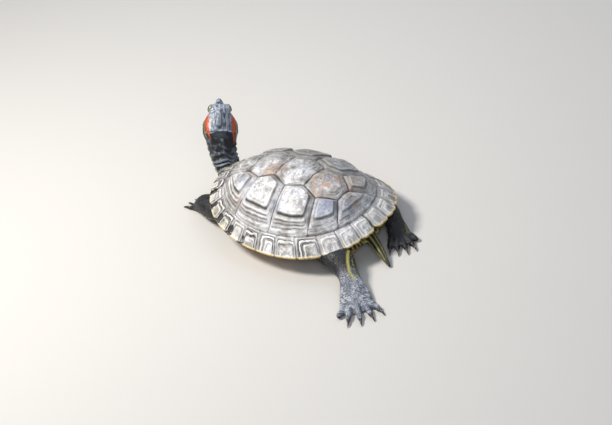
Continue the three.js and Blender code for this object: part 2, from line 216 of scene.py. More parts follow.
# Coats lie one over another, each with its pattern, its strength and its colour.
def finishMaterial(add, ground, coats, surface, bump=()):
    for pattern, strength, colour in coats:
        ground = add("Mix", (add("Math", (pattern, strength), **times), ground, colour), **inColour)
    if bump:
        surface["Normal"] = add("Bump", dict(zip(("Strength", "Distance", "Height"), bump)))
    add("OutputMaterial", (add("BsdfPrincipled", {"Base Color": ground, **surface}),))


# Scute keratin: old dry horn with a chalky bloom, silky where it is smooth, with painted shade in the growth steps.
hornLook = {
    # the brown-black groove colour is painted shade in the growth steps, over the dark seams between plates
    "chalk": "#ecedf1", "bloom": "#b2afad", "dull": "#6b6763", "groove": "#251d17", "rust": "#a0632f",
    # the pale blue is a painted sky reflection; the far-side grey and the last grey of this row are painted shade
    "tan": "#c79c6c", "blue": "#8f9dba", "olive": "#96927f", "far": "#77736a", "streak": "#4e4a46", "dusk": "#454240",
    # the near-white for the step crests is a painted highlight
    "smear": "#9aa2b4", "crest": "#f4f3f2", "cream": "#d9d2ae", "lip": "#dccb8b", "blot": "#1d1b18",
    "under": ("#b3893c", "#d0aa58"), "roughness": (0.48, 0.3), "ior": 1.54, "bump": (0.8, 0.0006),
    "ragged": 0.8, "spread": 0.62,
    # patches of a colour: x, y, z and radius in mm
    "patches": {
        # painted reflections of the sky
        "blue": [(36, 32, 60, 11), (-65, 25, 53, 18), (-79, 9, 47, 12), (-20, 45, 55, 12), (-40, -30, 60, 16)],
        # painted shade along the top of the shell, mostly on its far side
        "dusk": [(19, -18, 69, 20), (-23, -20, 68, 22), (50, -14, 64, 16), (-4, -30, 66, 20), (80, 20, 45, 16)],
        "olive": [(-97, -4, 26, 22), (-86, 34, 24, 16), (-80, -44, 26, 24)],
        "rust": [(38, 48, 48, 11), (34, 26, 63, 9), (14, 6, 71, 20), (-48, 2, 65, 22), (-50, 13, 64, 12),
                 (-62, -18, 57, 20), (-80, 3, 47, 9), (3, 55, 48, 5), (24, -40, 56, 17), (-30, -46, 50, 14)],
    },
    "noises": [(0, 34, 4, 0.55, 0), (0, 15, 5, 0.62, 1.4), (0, 9, 5, 0.6, 0), (0, 1.6, 4, 0.65, 0),
               (1, 1500, 3, 0.6, 0), (2, 1700, 3, 0.6, 0), (0, 10, 5, 0.65, 0.8), (0, 8, 4, 0.55, 1.6)],
}


def scuteKeratin(name, blotched=False):
    # growth lines run round each plate, wrinkles run out over its oldest horn
    (material, add, spot, _, _, groove, crest, old, big, veins, middle, fine, lines, wrinkles, worn,
     smears) = startMaterial(name, ["lie", "rays"], ["groove", "crest", "oldHorn"], hornLook["noises"])
    look = hornLook
    streak = add("Mix", (old, lines, wrinkles), **inColour)
    cloud = add("Math", (middle, 0.4, add("Math", (big, 0.6), **times)), **timesPlus)
    ground = add("ValToRGB", (cloud,), ramp=[(0.39, look["dull"]), (0.47, look["bloom"]), (0.545, look["chalk"])])
    worn = add("Math", ((worn, [(0.42, 0), (0.58, 0.88)]), (streak, [(0.36, 0.35), (0.56, 1)])), **times)
    # patches of painted sky reflection, of painted shade along the top, of olive, and of rust and tan
    tints = {"blue": (big, 0.6, look["blue"]),
             "dusk": (middle, (streak, [(0.42, 1), (0.6, 0.45)]), look["dusk"]),
             "olive": (middle, 0.6, look["olive"]),
             "rust": (big, worn, add("Mix", (streak, look["rust"], look["tan"]), **inColour))}
    coats = []
    for kind, (ragged, strength, colour) in tints.items():
        for *centre, radius in look["patches"][kind]:
            away = add("VectorMath", (spot, [c * mm for c in centre]), operation="DISTANCE")
            uneven = add("Math", (ragged, look["ragged"]), **times)
            wide = add("Math", (away, look["spread"] / mm / radius, uneven), **timesPlus)
            coats.append(((wide, [(0, 1), (0.65, 1), (1, 0)]), strength, colour))
    x, y = (add("SeparateXYZ", (spot,), out=axis) for axis in "XY")
    # painted shade: the far side, away from the key light, is darkened, more strongly toward the front
    shadedFarSide, onBack = add("Math", (y, -12, 0.3), **timesPlus), add("Math", (x, 33, 3), **timesPlus)
    coats += [
        ((smears, [(0.5, 0), (0.62, 1)]), add("Math", (old, 0.6), **times), look["smear"]),
        ((shadedFarSide, [(0.05, 0), (0.6, 1)]), (onBack, [(0, 0.15), (1, 0.6)]), look["far"]),
        ((streak, [(0.36, 1), (0.5, 0)]), add("Math", (old, -0.35, 0.65), **timesPlus), look["streak"]),
        ((streak, [(0.52, 0), (0.66, 1)]), add("Math", (old, -0.2, 0.35), **timesPlus), look["chalk"]),
        ((veins, [(0.472, 0), (0.492, 1), (0.508, 1), (0.53, 0)]), (middle, [(0.38, 0.05), (0.58, 0.6)]),
         look["streak"]),
        # painted highlight along the crests of the growth steps
        (crest, 0.75, look["crest"])]
    if blotched:
        cream, under, lip, blot = (add("Attribute", out="Fac", attribute_name=key)
                                   for key in ("cream", "under", "lip", "blot"))
        coats += [((middle, [(0.4, 0.05), (0.6, 0.5)]), cream, look["cream"]),
                  (under, 1, add("Mix", (fine, *look["under"]), **inColour)), (lip, 1, look["lip"]),
                  ((add("Math", (middle, 0.7, blot), **timesPlus), [(0.7, 0), (0.8, 1)]), 0.9, look["blot"])]
    # painted shade in the growth steps, over the dark seams between plates
    coats.append((groove, 0.97, look["groove"]))
    rough, silky = look["roughness"]
    ribbed = add("Math", (streak, add("Math", (old, -0.8, 1.3), **timesPlus)), **times)
    height = add("Math", (ribbed, add("Math", (fine, 0.35, middle), **timesPlus)))
    finishMaterial(add, ground, coats, {
        "IOR": look["ior"], "Roughness": (streak, [(0.35, rough), (0.65, silky)]),
        "Specular IOR Level": add("Math", (groove, -0.45, 0.5), **timesPlus),  # painted shade: the grooves lose their shine, so that they read darker
    }, (*look["bump"], height))
    return material


# Plastron horn: smooth waxy yellow plates with a smoky dark figure in each.
bellyLook = {"wax": ("#b98836", "#d2a64c"), "figure": "#231d17", "seam": "#3a2b18", "roughness": 0.42, "ior": 1.54,
             "bump": (0.4, 0.0003), "noises": [(0, 16, 3, 0.5, 0), (0, 2.2, 4, 0.6, 0)]}


def plastronKeratin(name, smoky=False):
    look = bellyLook
    material, add, _, groove, ring, cloud, fine = startMaterial(name, [], ["groove", "ring"], look["noises"])
    ringed = add("Math", (cloud, 0.5, add("Math", (ring, 0.6), **times)), **timesPlus)
    figure = (cloud, [(0.5, 0), (0.57, 1)]) if smoky else (ringed, [(0.52, 0), (0.6, 1)])
    finishMaterial(add, add("Mix", (fine, *look["wax"]), **inColour),
                   [(figure, 0.9, look["figure"]), (groove, 0.7, look["seam"])],
                   {"Roughness": look["roughness"], "IOR": look["ior"]}, (*look["bump"], fine))
    return material


backHorn = scuteKeratin("scute keratin, chalky and ringed")
rimHorn = scuteKeratin("marginal keratin, blotched", blotched=True)
bellyHorn = plastronKeratin("plastron keratin, waxy yellow")
bridgeHorn = plastronKeratin("bridge keratin, yellow with smoky clouds", smoky=True)
print("materials for the shell made")

# Form of the upper shell. Rim height, flare and power of the arch are given at the side, with what is added to each
# at the front and at the rear.
shell = {
    "front": 99, "rear": 105, "halfWidth": 77.5, "taper": 0.09, "roundness": 0.03, "squareness": 0.06, "top": 72,
    "rim": (19.5, 18.5, 3.5), "flare": (1, 2, 4), "arch": (2.35, -0.2, 0.25), "sulcus": 0.835, "keel": 1.0,
    "keelWidth": 6.0,
}


def halfWidthAt(p):
    return shell["halfWidth"] * (1 - shell["taper"] * p - shell["roundness"] * p * p)


def fullness(rho, u):
    return 1 + shell["squareness"] * (np.sin(2 * u) * rho) ** 2


# from a share of the way out and an angle to x and y, and back
def planOf(rho, u):
    reach = rho * fullness(rho, u)
    p = reach * np.cos(u)
    return p * np.where(p > 0, shell["front"], shell["rear"]), reach * np.sin(u) * halfWidthAt(p)


def polarOf(x, y):
    p = x / np.where(x > 0, shell["front"], shell["rear"])
    q = y / halfWidthAt(p)
    reach, u = np.hypot(p, q), np.arctan2(q, p)
    rho = reach
    for _ in range(6):
        rho = reach / fullness(rho, u)
    return rho, u


def domeAt(rho, u):
    front, rear = np.maximum(np.cos(u), 0) ** 2, np.maximum(-np.cos(u), 0) ** 2
    rim, flare, arch = (side + atFront * front + atRear * rear
                        for side, atFront, atRear in (shell["rim"], shell["flare"], shell["arch"]))
    return rim + (shell["top"] - rim) * (1 - rho ** arch) + flare * clamp((rho - 0.8) / 0.2) ** 2


def domeOver(x, y):
    rho, u = polarOf(x, y)
    return domeAt(rho, u) + shell["keel"] * bell(y, shell["keelWidth"]) * (1 - smooth(0.6, 0.85, rho))


def domeNormal(x, y, step=0.5):
    dx = domeOver(x + step, y) - domeOver(x - step, y)
    dy = domeOver(x, y + step) - domeOver(x, y - step)
    return unit(np.stack([-dx, -dy, np.full_like(dx, 2 * step)], -1))


# Plates of the back: their corners from front to rear on the left side, and the angles where their seams meet the rim.
# Wander and jitter unsettle the growth rings; they and the dents, lines and wrinkles have a height and a width.
plates = {
    "spacing": 0.52, "seam": 0.08, "thickness": 3.6, "crown": 1.3, "lift": 2.3, "rimLevel": -1.8, "seamDip": 0.7,
    "seamRound": 0.9, "sag": 2.6, "weld": 0.12, "wander": (1.1, 16), "jitter": (0.25, 5), "dents": (0.45, 7),
    "lines": (0.22, 2.4), "wrinkles": (0.13, 2.6), "front": (82.5, 0), "seams": [22, 66, 101, 131, 155],
    "corners": [(79, 19), (46, 16), (26, 24), (8, 17), (-12, 25), (-32, 17), (-50, 22), (-68, 9)],
}
# How far in from each kind of side the growth reaches, for each step its place in mm, its drop and its darkness, and
# for each plate the centre of its oldest horn, how strongly its steps show and how far apart they lie.
growth = {
    "grown": 36.0, "rim": 27.0, "side": 11.5, "crown": 8.0, "spine": 13.0, "tailSide": 26.0, "riser": 1.3, "line": 0.95,
    "stray": 0.45, "oldHorn": (17.5, 21.5), "sharpness": {"vertebral": 22, "pleural": 13},
    "steps": [(2.6, 0.3, 0.6), (5.6, 0.5, 0.85), (8.9, 0.6, 0.95), (12.6, 0.55, 0.9), (18.4, 2.4, 1.0),
              (23.5, 0.12, 0.2)],
    "rimSteps": [(1.7, 0.2, 0.6), (3.4, 0.35, 0.95), (5.4, 0.35, 0.9), (7.0, 0.2, 0.7)],
    "vertebral": [(58, 0, 0.45, 1), (24, 0, 0.26, 1), (-16, 0, 0.26, 1), (-54, 0, 0.3, 1), (-76, 0, 0.75, 0.6)],
    "pleural": [(48, 33, 1.0, 1), (7, 34, 1.0, 1), (-33, 33, 1.0, 0.95), (-64, 25, 0.95, 0.72)],
}


def edgeArc(start, end, steps=12):
    edge = shell["sulcus"] - 0.001
    return [tuple(float(v) for v in planOf(edge, math.radians(angle))) for angle in np.linspace(start, end, steps + 1)]


def mirrored(outline):
    return [(x, -y) for x, y in reversed(outline)]


corners, seams = plates["corners"], plates["seams"]
outlines = {"vertebral_1": [plates["front"]] + corners[:2] + mirrored(corners[:2]),
            "vertebral_5": corners[7:] + edgeArc(seams[4], 360 - seams[4]) + mirrored(corners[7:])}
for n in (1, 2, 3):
    left = corners[2 * n - 1:2 * n + 2]
    outlines[f"vertebral_{n + 1}"] = left + mirrored(left)
for n in range(4):
    left = [corners[2 * n]] + edgeArc(seams[n], seams[n + 1]) + corners[2 * n + 2:2 * n:-1]
    outlines[f"pleural_left_{n + 1}"], outlines[f"pleural_right_{n + 1}"] = left, mirrored(left)


# Straight sides of a convex outline that runs anticlockwise: their inward normals and offsets, which of them lie along
# the rim plates, and how far the horn has grown in from each.
def sidesOf(outline, spine):
    points = np.array(outline, float)
    after = np.roll(points, -1, 0)
    inward = unit((after - points)[:, ::-1] * [-1, 1])
    middle = (points + after) / 2
    onRim = polarOf(*middle.T)[0] > shell["sulcus"] - 0.06
    towardSpine = inward[:, 1] * np.sign(middle[:, 1]) > 0.6
    inner = growth["spine"] if spine else np.where(towardSpine, growth["crown"], growth["side"])
    reach = np.where(onRim, growth["tailSide" if spine else "rim"], inner)
    return inward, (inward * points).sum(1) + plates["seam"], onRim, reach


# Drop of the growth steps towards the edge, their painted shade and painted highlight, from the distance in mm that
# the horn has grown; squeeze says how much closer together the steps lie than on the outer side.
def growthSteps(depth, steps, squeeze, seed):
    drop, groove, crest = (np.zeros_like(depth) for _ in range(3))
    riser, thin = growth["riser"] * squeeze, growth["line"] * squeeze
    for order, (mark, fall, dark) in enumerate(steps):
        past = depth - mark - growth["stray"] * math.sin(seed * 3.1 + order * 2.3)
        drop -= fall * (1 - smooth(-riser / 2, riser / 2, past))
        # where the steps crowd together only the strongest stays a line of its own
        dark = dark * np.where(squeeze > 1.01, mix(1.0, 0.75 if fall > 1 else 0.3, smooth(1, 2.2, squeeze)), 1.0)
        # painted shade at the foot of each riser
        groove = np.maximum(groove, dark * bell(past + 0.45 * riser, thin * (0.7 + 0.5 * fall)))
        # painted highlight along the edge above each riser and, weaker, on the terrace below it
        bright = np.maximum(bell(past - 0.75 * riser, thin), 0.6 * bell(past + 1.5 * riser, thin * 1.2))
        crest = np.maximum(crest, dark * bright)
    return drop, groove, crest


def buildPlate(name, outline, centre, strength, size, seed):
    kind = name.split("_")[0]
    inward, offsets, onRim, reach = sidesOf(outline, kind == "vertebral")
    reach = reach * size
    low, high = np.min(outline, 0) - 1, np.max(outline, 0) + 1
    bm = unitGrid(*(max(8, int(extent / plates["spacing"])) for extent in high - low))
    place(bm, coordinates(bm) * [*(high - low), 1] + [*low, 0])
    for normal, offset in zip(inward, offsets):
        bmesh.ops.bisect_plane(bm, geom=bm.verts[:] + bm.edges[:] + bm.faces[:], dist=1e-4,
                               plane_co=(*(normal * offset), 0), plane_no=(*(-normal), 0), clear_outer=True)
    bmesh.ops.remove_doubles(bm, verts=bm.verts, dist=plates["weld"])
    flat = coordinates(bm)[:, :2]
    x, y = flat.T
    raised = np.column_stack([flat, np.full(len(flat), seed * 7.0)])
    away = flat @ inward.T - offsets
    border = np.maximum(away.min(1), 0)
    # the short sides along the rim count as one
    toRim = np.full(len(flat), 99.0)
    if onRim.any():
        toRim = away[:, onRim].min(1)
        away = np.column_stack([away[:, ~onRim], toRim])
        reach = np.append(reach[~onRim], reach[onRim][0])
        toRim = np.maximum(toRim, 0)
    # a soft least value rounds the corners of the rings
    sharpness = growth["sharpness"][kind]
    weight = np.exp(-away / reach * sharpness)
    total = weight.sum(1)
    depth = -np.log(total) / sharpness * growth["grown"]
    local = (weight * reach).sum(1) / total
    depth += (lumps(raised, plates["wander"], seed) + lumps(raised, plates["jitter"], seed + 9)) * smooth(0, 5, depth)
    face = strength * mix(0.7, 1.0, smooth(12, 30, local))
    squeeze = np.minimum(growth["grown"] / local, 3.2)
    drop, groove, crest = growthSteps(depth, growth["steps"], squeeze, seed)
    oldHorn = smooth(*growth["oldHorn"], depth)
    turn, far = np.arctan2(y - centre[1], x - centre[0]), np.hypot(y - centre[1], x - centre[0])
    rays = np.column_stack([np.cos(turn) * 9, np.sin(turn) * 9, far * 0.28 + seed * 5])
    lie = np.column_stack([flat * 0.16, depth + seed * 11])
    relief = (drop + plates["lift"]) * face + plates["crown"] * (1 - (1 - clamp(depth / 26)) ** 2)
    relief -= plates["seamDip"] * bell(border, plates["seamRound"])
    relief += lumps(rays, plates["wrinkles"], seed) * smooth(1, 6, far) * oldHorn
    relief += lumps(lie, plates["lines"], seed) * (1 - oldHorn) * smooth(0, 2, border)
    relief += lumps(raised, plates["dents"], seed + 3)
    relief = mix(plates["rimLevel"], relief, smooth(0, 4.5, toRim))
    # relief stands square to the dome, but upright along the rim plates, so that no gap opens there
    normal = mix(np.array([0, 0, 1]), domeNormal(x, y), smooth(0, 6, toRim)[:, None])
    place(bm, np.column_stack([flat, domeOver(x, y)]) + normal * relief[:, None])
    seamDark = mix(0.7, 0.25, smooth(18, 26, local / size)) * bell(border, 0.55)
    layOn(bm, {"groove": clamp(np.maximum(groove * face, seamDark)), "crest": clamp(crest * face),
               "oldHorn": oldHorn, "lie": lie, "rays": rays})
    cap = closeBelow(bm, lambda co: co.z - plates["thickness"])
    hub = bmesh.ops.poke(bm, faces=cap)["verts"][0]
    hub.co.z = float(domeOver(*np.array(hub.co[:2])[:, None])[0]) - plates["thickness"] - plates["sag"]
    sharpen(bm)
    finishPiece(pieceName(name) + "Scute", bm, backHorn, [name])


for number, (name, outline) in enumerate(sorted(outlines.items())):
    kind, *_, order = name.split("_")
    x, y, strength, size = growth[kind][int(order) - 1]
    buildPlate(name, outline, (x, -y if "right" in name else y), strength, size, 1.7 * number)
print("plates of the back made")

# Rim plates: their seams by angle from the front round to the tail, and the sizes of edge, teeth and old horn.
rimPlates = {
    "seams": [4, 17, 29, 42, 55, 68, 81, 94, 108, 122, 137, 151, 165, 179.6], "stepDegrees": 0.36, "edge": 3.0,
    "root": 7.0, "seamDip": 0.6, "seamRound": 0.8, "tooth": 1.9, "halfTooth": 1.0, "notch": 2.6, "fray": (1.1, 2.4),
    "depth": 15.5, "arcWidth": 1.42, "oldHorn": (9, 11), "sharpness": 1.1, "toothed": (112, 150),
    "frilled": (128, 142), "flank": (14, 24, 70, 92), "mostRelief": 1.2, "wander": (0.9, 9), "jitter": (0.5, 3.5),
    "dents": (0.35, 4.5), "lines": (0.25, 1.8), "wrinkles": (0.42, 1.9),
}


# how far the edge is cut back: toothed and frayed behind, with a notch over the tail
def cutBack(angle):
    seams = np.array(rimPlates["seams"])
    nearest, halfway = (np.min(np.abs(angle[:, None] - row), -1) for row in (seams, (seams[1:] + seams[:-1]) / 2))
    amount, size = rimPlates["fray"]
    fray = amount * smooth(0.05, 0.4, lumps(np.outer(angle * 1.75, (1, 0, 0)), (1, size), 9.0))
    teeth = rimPlates["tooth"] * (1 - smooth(0, 3.4, nearest)) + rimPlates["halfTooth"] * (1 - smooth(0, 1.6, halfway))
    notch = rimPlates["notch"] * (1 - smooth(0, 5.5, 180 - angle))
    return smooth(*rimPlates["toothed"], angle) * (teeth + fray) + notch


def buildRim(name, start, end, side, nodeName, seed):
    # profile: out over the top, round the edge, back under, and up the inner wall
    profile = np.concatenate([np.linspace(0, 1, 32), np.linspace(1.08, 1.92, 7), np.linspace(2, 3, 10), [3.6, 4.0]])
    count = max(8, int(round((end - start) / rimPlates["stepDegrees"])))
    bm = unitGrid(count, len(profile) - 1)
    along, out, _ = coordinates(bm).T
    angle = start + (end - start) * along
    station = profile[np.rint(out * (len(profile) - 1)).astype(int)]
    u = np.radians(angle) * side
    top, under, turn = clamp(station), clamp(station - 2), clamp(station - 1) * math.pi
    rho = mix(shell["sulcus"], 1.0, top - under)
    x, y = planOf(rho, u)
    away = unit(np.column_stack([x, y]))
    half = rimPlates["edge"] / 2
    outward = 0.9 * half * np.sin(turn) - cutBack(angle) * smooth(0.9, 1.0, rho)
    z = domeAt(rho, u) - half * (1 - np.cos(turn)) - (rimPlates["root"] - rimPlates["edge"]) * under
    z = mix(z, domeAt(rho, u) - 1.0, clamp(station - 3))
    points = np.column_stack([np.column_stack([x, y]) + away * outward[:, None], z])
    # which plate a point is on, its share of the way across, and how far it has grown in mm
    seams = np.array([start, end]) if nodeName == "nuchal" else np.array([start] + rimPlates["seams"][1:])
    index = clamp(np.searchsorted(seams, angle, side="right") - 1, 0, len(seams) - 2).astype(int)
    low, high = seams[index], seams[index + 1]
    across = clamp((angle - low) / (high - low))
    width = (high - low) * rimPlates["arcWidth"]
    depth = top * rimPlates["depth"]
    border = np.minimum(across, 1 - across) * width
    # the oldest horn of a rim plate lies at its outer edge, a little behind the middle, and no two grow alike
    habit = 0.5 + 0.5 * np.sin(index * 2.7 + seed)
    grown = np.stack([across * width * mix(0.9, 1.7, habit), (1 - across) * width * 2.2,
                      depth * mix(1.05, 0.75, habit)], -1)
    soft = -np.log(np.exp(-grown * rimPlates["sharpness"]).sum(-1)) / rimPlates["sharpness"]
    raised = points + seed
    uneven = lumps(raised, rimPlates["wander"], seed) + lumps(raised, rimPlates["jitter"], seed)
    soft = soft + uneven * smooth(0, 3, soft)
    drop, groove, crest = growthSteps(soft, growth["rimSteps"], 0.7, seed)
    figure = mix(0.9, 1.5, 0.5 + 0.5 * np.sin(index * 4.1 + 1.3 * seed + 2 * across))
    onFace, onTop = station <= 1, 1 - smooth(0.93, 1.1, station)
    frilled = smooth(*rimPlates["frilled"], angle)
    oldHorn = np.maximum(smooth(*rimPlates["oldHorn"], soft), frilled)
    lie = np.column_stack([across * width * 0.18 + index * 17, depth * 0.18, soft + seed])
    rays = np.column_stack([across * width + index * 17, depth * 0.22, np.full(len(angle), seed)])
    relief = drop * 1.9 * onTop - rimPlates["seamDip"] * bell(border, rimPlates["seamRound"])
    relief -= (1.5 * bell(depth, 3.6) + 0.3 * bell(depth, 0.8)) * onFace
    relief += lumps(raised, rimPlates["dents"], seed + 5) * smooth(0.1, 0.4, top) * (station < 3)
    lines, wrinkles = lumps(lie, rimPlates["lines"], seed), lumps(rays, rimPlates["wrinkles"], seed)
    relief += mix(lines, wrinkles, frilled) * onTop * smooth(0, 0.15, top)
    lift = np.column_stack([away * np.sin(turn)[:, None], np.cos(turn)]) * (station <= 3)[:, None]
    points = points + lift * np.minimum(relief, rimPlates["mostRelief"])[:, None]
    # dark blots sit at the front seam of each plate, above and below the edge, strongest along the flank
    flank = span(angle, *rimPlates["flank"]) + 0.25
    onSeam = np.maximum(bell((across - 0.1) * width, 4.8), bell((across - 1.04) * width, 2.6))
    above = onSeam * np.maximum(bell(depth - 11.2, 4.0), smooth(13.0, 14.8, depth)) * (station <= 1.3) * flank
    below = np.maximum(bell((across - 0.02) * width, 4.6) * (1 - smooth(2.55, 2.8, station)),
                       bell((across - 1.02) * width, 4.0) * (station < 2.6)) * smooth(1.05, 1.25, station)
    cream = bell((across - 0.62) * width, 5.0) * bell(depth - 11, 4.5) * onFace * flank
    seamDark = np.maximum(mix(0.5, 0.75, frilled) * bell(border, 0.55), 0.3 * bell(depth, 0.55) * onFace)
    fields = {
        "groove": clamp(np.maximum(groove * figure * onTop * (1 - 0.5 * frilled), seamDark)),
        "crest": clamp(crest * figure * onTop), "oldHorn": clamp(oldHorn),
        "under": smooth(1.3, 1.5, station) * (station < 2.95), "lip": bell(station - 1.22, 0.14),
        "blot": clamp(np.maximum(above * 0.7, below * 0.8 * clamp(flank + 0.2))), "cream": clamp(cream),
        "lie": lie, "rays": rays,
    }
    # the last row of the profile closes on the first
    first, last = (np.flatnonzero(station == s)[np.argsort(along[station == s])] for s in (0.0, 4.0))
    for values in [points, *fields.values()]:
        values[last] = values[first]
    place(bm, points)
    layOn(bm, fields)
    closeRings(bm)
    sharpen(bm)
    finishPiece(name, bm, rimHorn, [nodeName])


buildRim("nuchalScute", -3.8, 3.8, 1, "nuchal", 2.0)
buildRim("marginalScutesLeft", 4.1, 179.6, 1, "marginals_left", 11.0)
buildRim("marginalScutesRight", 4.1, 179.6, -1, "marginals_right", 23.0)
print("rim plates made")

# Lower shell: each seam has its place on the midline and how far it runs forward on its way out.
belly = {
    "outline": [(92, 0), (91, 8), (87, 17), (78, 28), (60, 37), (40, 40), (29, 46), (24, 56), (10, 57.5), (-14, 57.5),
                (-26, 56), (-33, 46), (-44, 41), (-62, 39), (-76, 31), (-86, 20), (-89, 10), (-87, 0)],
    "seams": [(91.5, 0), (70, 12), (45, 3), (19, 2), (-33, -1), (-60, 3), (-87.5, 0)], "runOver": 45, "widest": 57.5,
    "names": ["gular", "humeral", "pectoral", "abdominal", "femoral", "anal"], "thickness": 6.4, "gap": 0.25,
    "rings": (0.18, 0.3, 0.44, 0.6), "grid": 34, "across": 40, "weld": 0.05, "frontRise": (5, 72, 18),
    "rearRise": (3, 66, 22), "seamDip": 0.9, "seamRound": 0.8, "edgeRise": 1.6, "ringRise": 0.22,
}
bellyX, bellyY = np.array(belly["outline"][::-1], float).T


# how far the lower shell rises towards its ends, each by its amount, where it starts and how far it runs
def bellyRise(x):
    front, rear = (rise * clamp((ahead - start) / run) for ahead, (rise, start, run) in
                   ((x, belly["frontRise"]), (-x, belly["rearRise"])))
    return np.where(x > 0, front, rear)


def bellyPlate(index, side):
    (front, frontRun), (rear, rearRun) = belly["seams"][index:index + 2]
    gap = belly["gap"]
    bm = unitGrid(belly["grid"], belly["grid"])
    s, t, _ = coordinates(bm).T
    # each row runs from the midline out to the edge, between the two seams
    y = belly["widest"] * t
    for _ in range(12):
        xf, xr = front + frontRun * y / belly["runOver"] - gap, rear + rearRun * y / belly["runOver"] + gap
        x = mix(xr, xf, s)
        y = mix(y, t * np.interp(x, bellyX, bellyY), 0.6)
    y = gap + y * (1 - gap / 50)
    share = clamp(2 * np.minimum.reduce([s, 1 - s, t, 1 - t]))
    border, width = np.minimum(s, 1 - s) * (xf - xr), belly["across"]
    marks = sum(bell(share - m, 0.02) for m in belly["rings"])
    bottom = bellyRise(x) + belly["seamDip"] * bell(np.minimum(border, t * width + 0.4), belly["seamRound"])
    bottom += belly["edgeRise"] * smooth(0.955, 1.0, t) ** 2 + belly["ringRise"] * marks
    place(bm, np.column_stack([x, y * side, bottom]))
    border = np.minimum.reduce([border, t * width, (1 - t) * width + 3])
    layOn(bm, {"ring": share, "groove": clamp(np.maximum(bell(border, 0.6), 0.35 * marks))})
    bmesh.ops.remove_doubles(bm, verts=bm.verts, dist=belly["weld"])
    cap = closeBelow(bm, lambda co: belly["thickness"] + float(bellyRise(co.x)))
    bmesh.ops.triangulate(bm, faces=cap)
    name = belly["names"][index]
    label = name + ("Left" if side > 0 else "Right") + "Scute"
    finishPiece(label, bm, bellyHorn, [f"plastron_{name}"])


for index in range(6):
    for side in (1, -1):
        bellyPlate(index, side)
for sideName in ("left", "right"):
    bridge = frame["nodes"][f"bridge_{sideName}"].data
    bridge.materials.clear()
    bridge.materials.append(bridgeHorn)
print("lower shell made")

# Flesh: forms laid out as oval rings along curves.
flesh = {
    "hidden": 0.66, "voxel": 1.06, "webThickness": 1.0, "under": 6.8, "underRim": (3.9, 7.9), "floor": 0.02,
    "rump": {"reach": (20, 42, 7.2), "centre": (-78, 2, 14.2)},
    # the trunk from its top round to the belly: share of the run, how far out and how high, each at the bridges and at
    # the leg pockets; without a height it lies under the dome
    "trunk": [(0, 0.001, 0.001, None, None), (0.2, 0.42, 0.42, None, None), (0.4, 0.76, 0.76, None, None),
              (0.55, 0.77, 0.87, 18, 24), (0.68, 0.75, 0.86, 12, 15), (0.8, 0.69, 0.78, 8.4, 8.4),
              (1, 0.001, 0.001, 8.4, 8.4)],
}
headForm = {
    "rear": (117.6, -17.2, 62), "heading": -53, "pitch": 37, "roll": 15, "eye": (33, 8.2, 6.4), "eyeRadius": 4.3,
    # x from the back of the skull, half width of the jaws and of the top, height above and depth below the axis
    "stations": [(-3.0, 14.5, 13.5, 10.4, 11.6), (2, 17.4, 16.2, 11.9, 13.0), (7, 19.0, 17.8, 12.8, 13.4),
                 (13, 19.7, 18.2, 13.5, 13.2), (19, 18.4, 16.8, 13.9, 12.4), (24, 15.9, 14.0, 13.8, 11.4),
                 (28, 13.3, 11.2, 13.2, 10.6), (32, 10.9, 8.6, 11.8, 10.0), (35.5, 9.0, 6.8, 9.9, 9.2),
                 (38.5, 6.3, 4.0, 7.8, 8.4), (41.5, 4.7, 2.8, 6.4, 7.4), (44.3, 3.5, 2.3, 5.4, 6.2),
                 (46.4, 2.3, 1.6, 4.3, 4.4), (47.3, 0.7, 0.6, 1.6, 1.8)],
    "orbit": {"centre": (30.6, 6.3, 5.4), "reach": (7.6, 5.1, 6.1)}, "crownEnd": 5.5, "nostril": (46.0, 1.5, 2.2),
    "eardrum": (12.5, -0.8), "girth": 27, "uneven": (0.14, 3),
}
headTurn = Euler([math.radians(a) for a in (headForm["roll"], -headForm["pitch"], headForm["heading"])], "XYZ")
headMatrix = Matrix.Translation(headForm["rear"]) @ headTurn.to_matrix().to_4x4()
headAxes, headBack = np.array(headMatrix.to_3x3()), np.array(headMatrix.inverted())


def intoHead(points):
    return points @ headBack[:3, :3].T + headBack[:3, 3]


# Rows of x, y, z, half width and half height, filled in smoothly.
def alongCurve(rows, count):
    rows = np.array(rows, float)
    step = np.linalg.norm(np.diff(rows[:, :3], axis=0), axis=1) ** 0.5
    knots = np.concatenate([[0], np.cumsum(step)])
    rows = np.vstack([2 * rows[0] - rows[1], rows, 2 * rows[-1] - rows[-2]])
    knots = np.concatenate([[-step[0]], knots, [knots[-1] + step[-1]]])
    out = []
    for t in np.linspace(knots[1], knots[-2], count):
        i = int(clamp(np.searchsorted(knots, t, side="right") - 1, 1, len(knots) - 3))
        p, k = rows[i - 1:i + 3], knots[i - 1:i + 3]
        a = [((k[m + 1] - t) * p[m] + (t - k[m]) * p[m + 1]) / (k[m + 1] - k[m]) for m in range(3)]
        b = [((k[m + 2] - t) * a[m] + (t - k[m]) * a[m + 1]) / (k[m + 2] - k[m]) for m in range(2)]
        out.append(((k[2] - t) * b[0] + (t - k[1]) * b[1]) / (k[2] - k[1]))
    return np.array(out)


def framesOf(rows):
    ahead = unit(np.gradient(rows[:, :3], axis=0))
    side = unit(np.cross([0, 0, 1], ahead))
    return ahead, side, np.cross(ahead, side)


# a net to be closed into rings, with the number of the ring and the angle of each point
def ringNet(rings, around):
    bm = unitGrid(rings - 1, around)
    along, turn, _ = coordinates(bm).T
    return bm, np.rint(along * (rings - 1)).astype(int), turn * 2 * math.pi


def powerOf(v, power):
    return np.sign(v) * np.abs(v) ** power


def ovalTube(rows, rings, around, square=1.0):
    rows = alongCurve(rows, rings)
    _, side, normal = framesOf(rows)
    bm, row, angle = ringNet(rings, around)
    wide, high = (rows[row, 3 + k] * powerOf(v, square) for k, v in enumerate((np.cos(angle), np.sin(angle))))
    place(bm, rows[row, :3] + side[row] * wide[:, None] + normal[row] * high[:, None])
    closeRings(bm)
    return bm


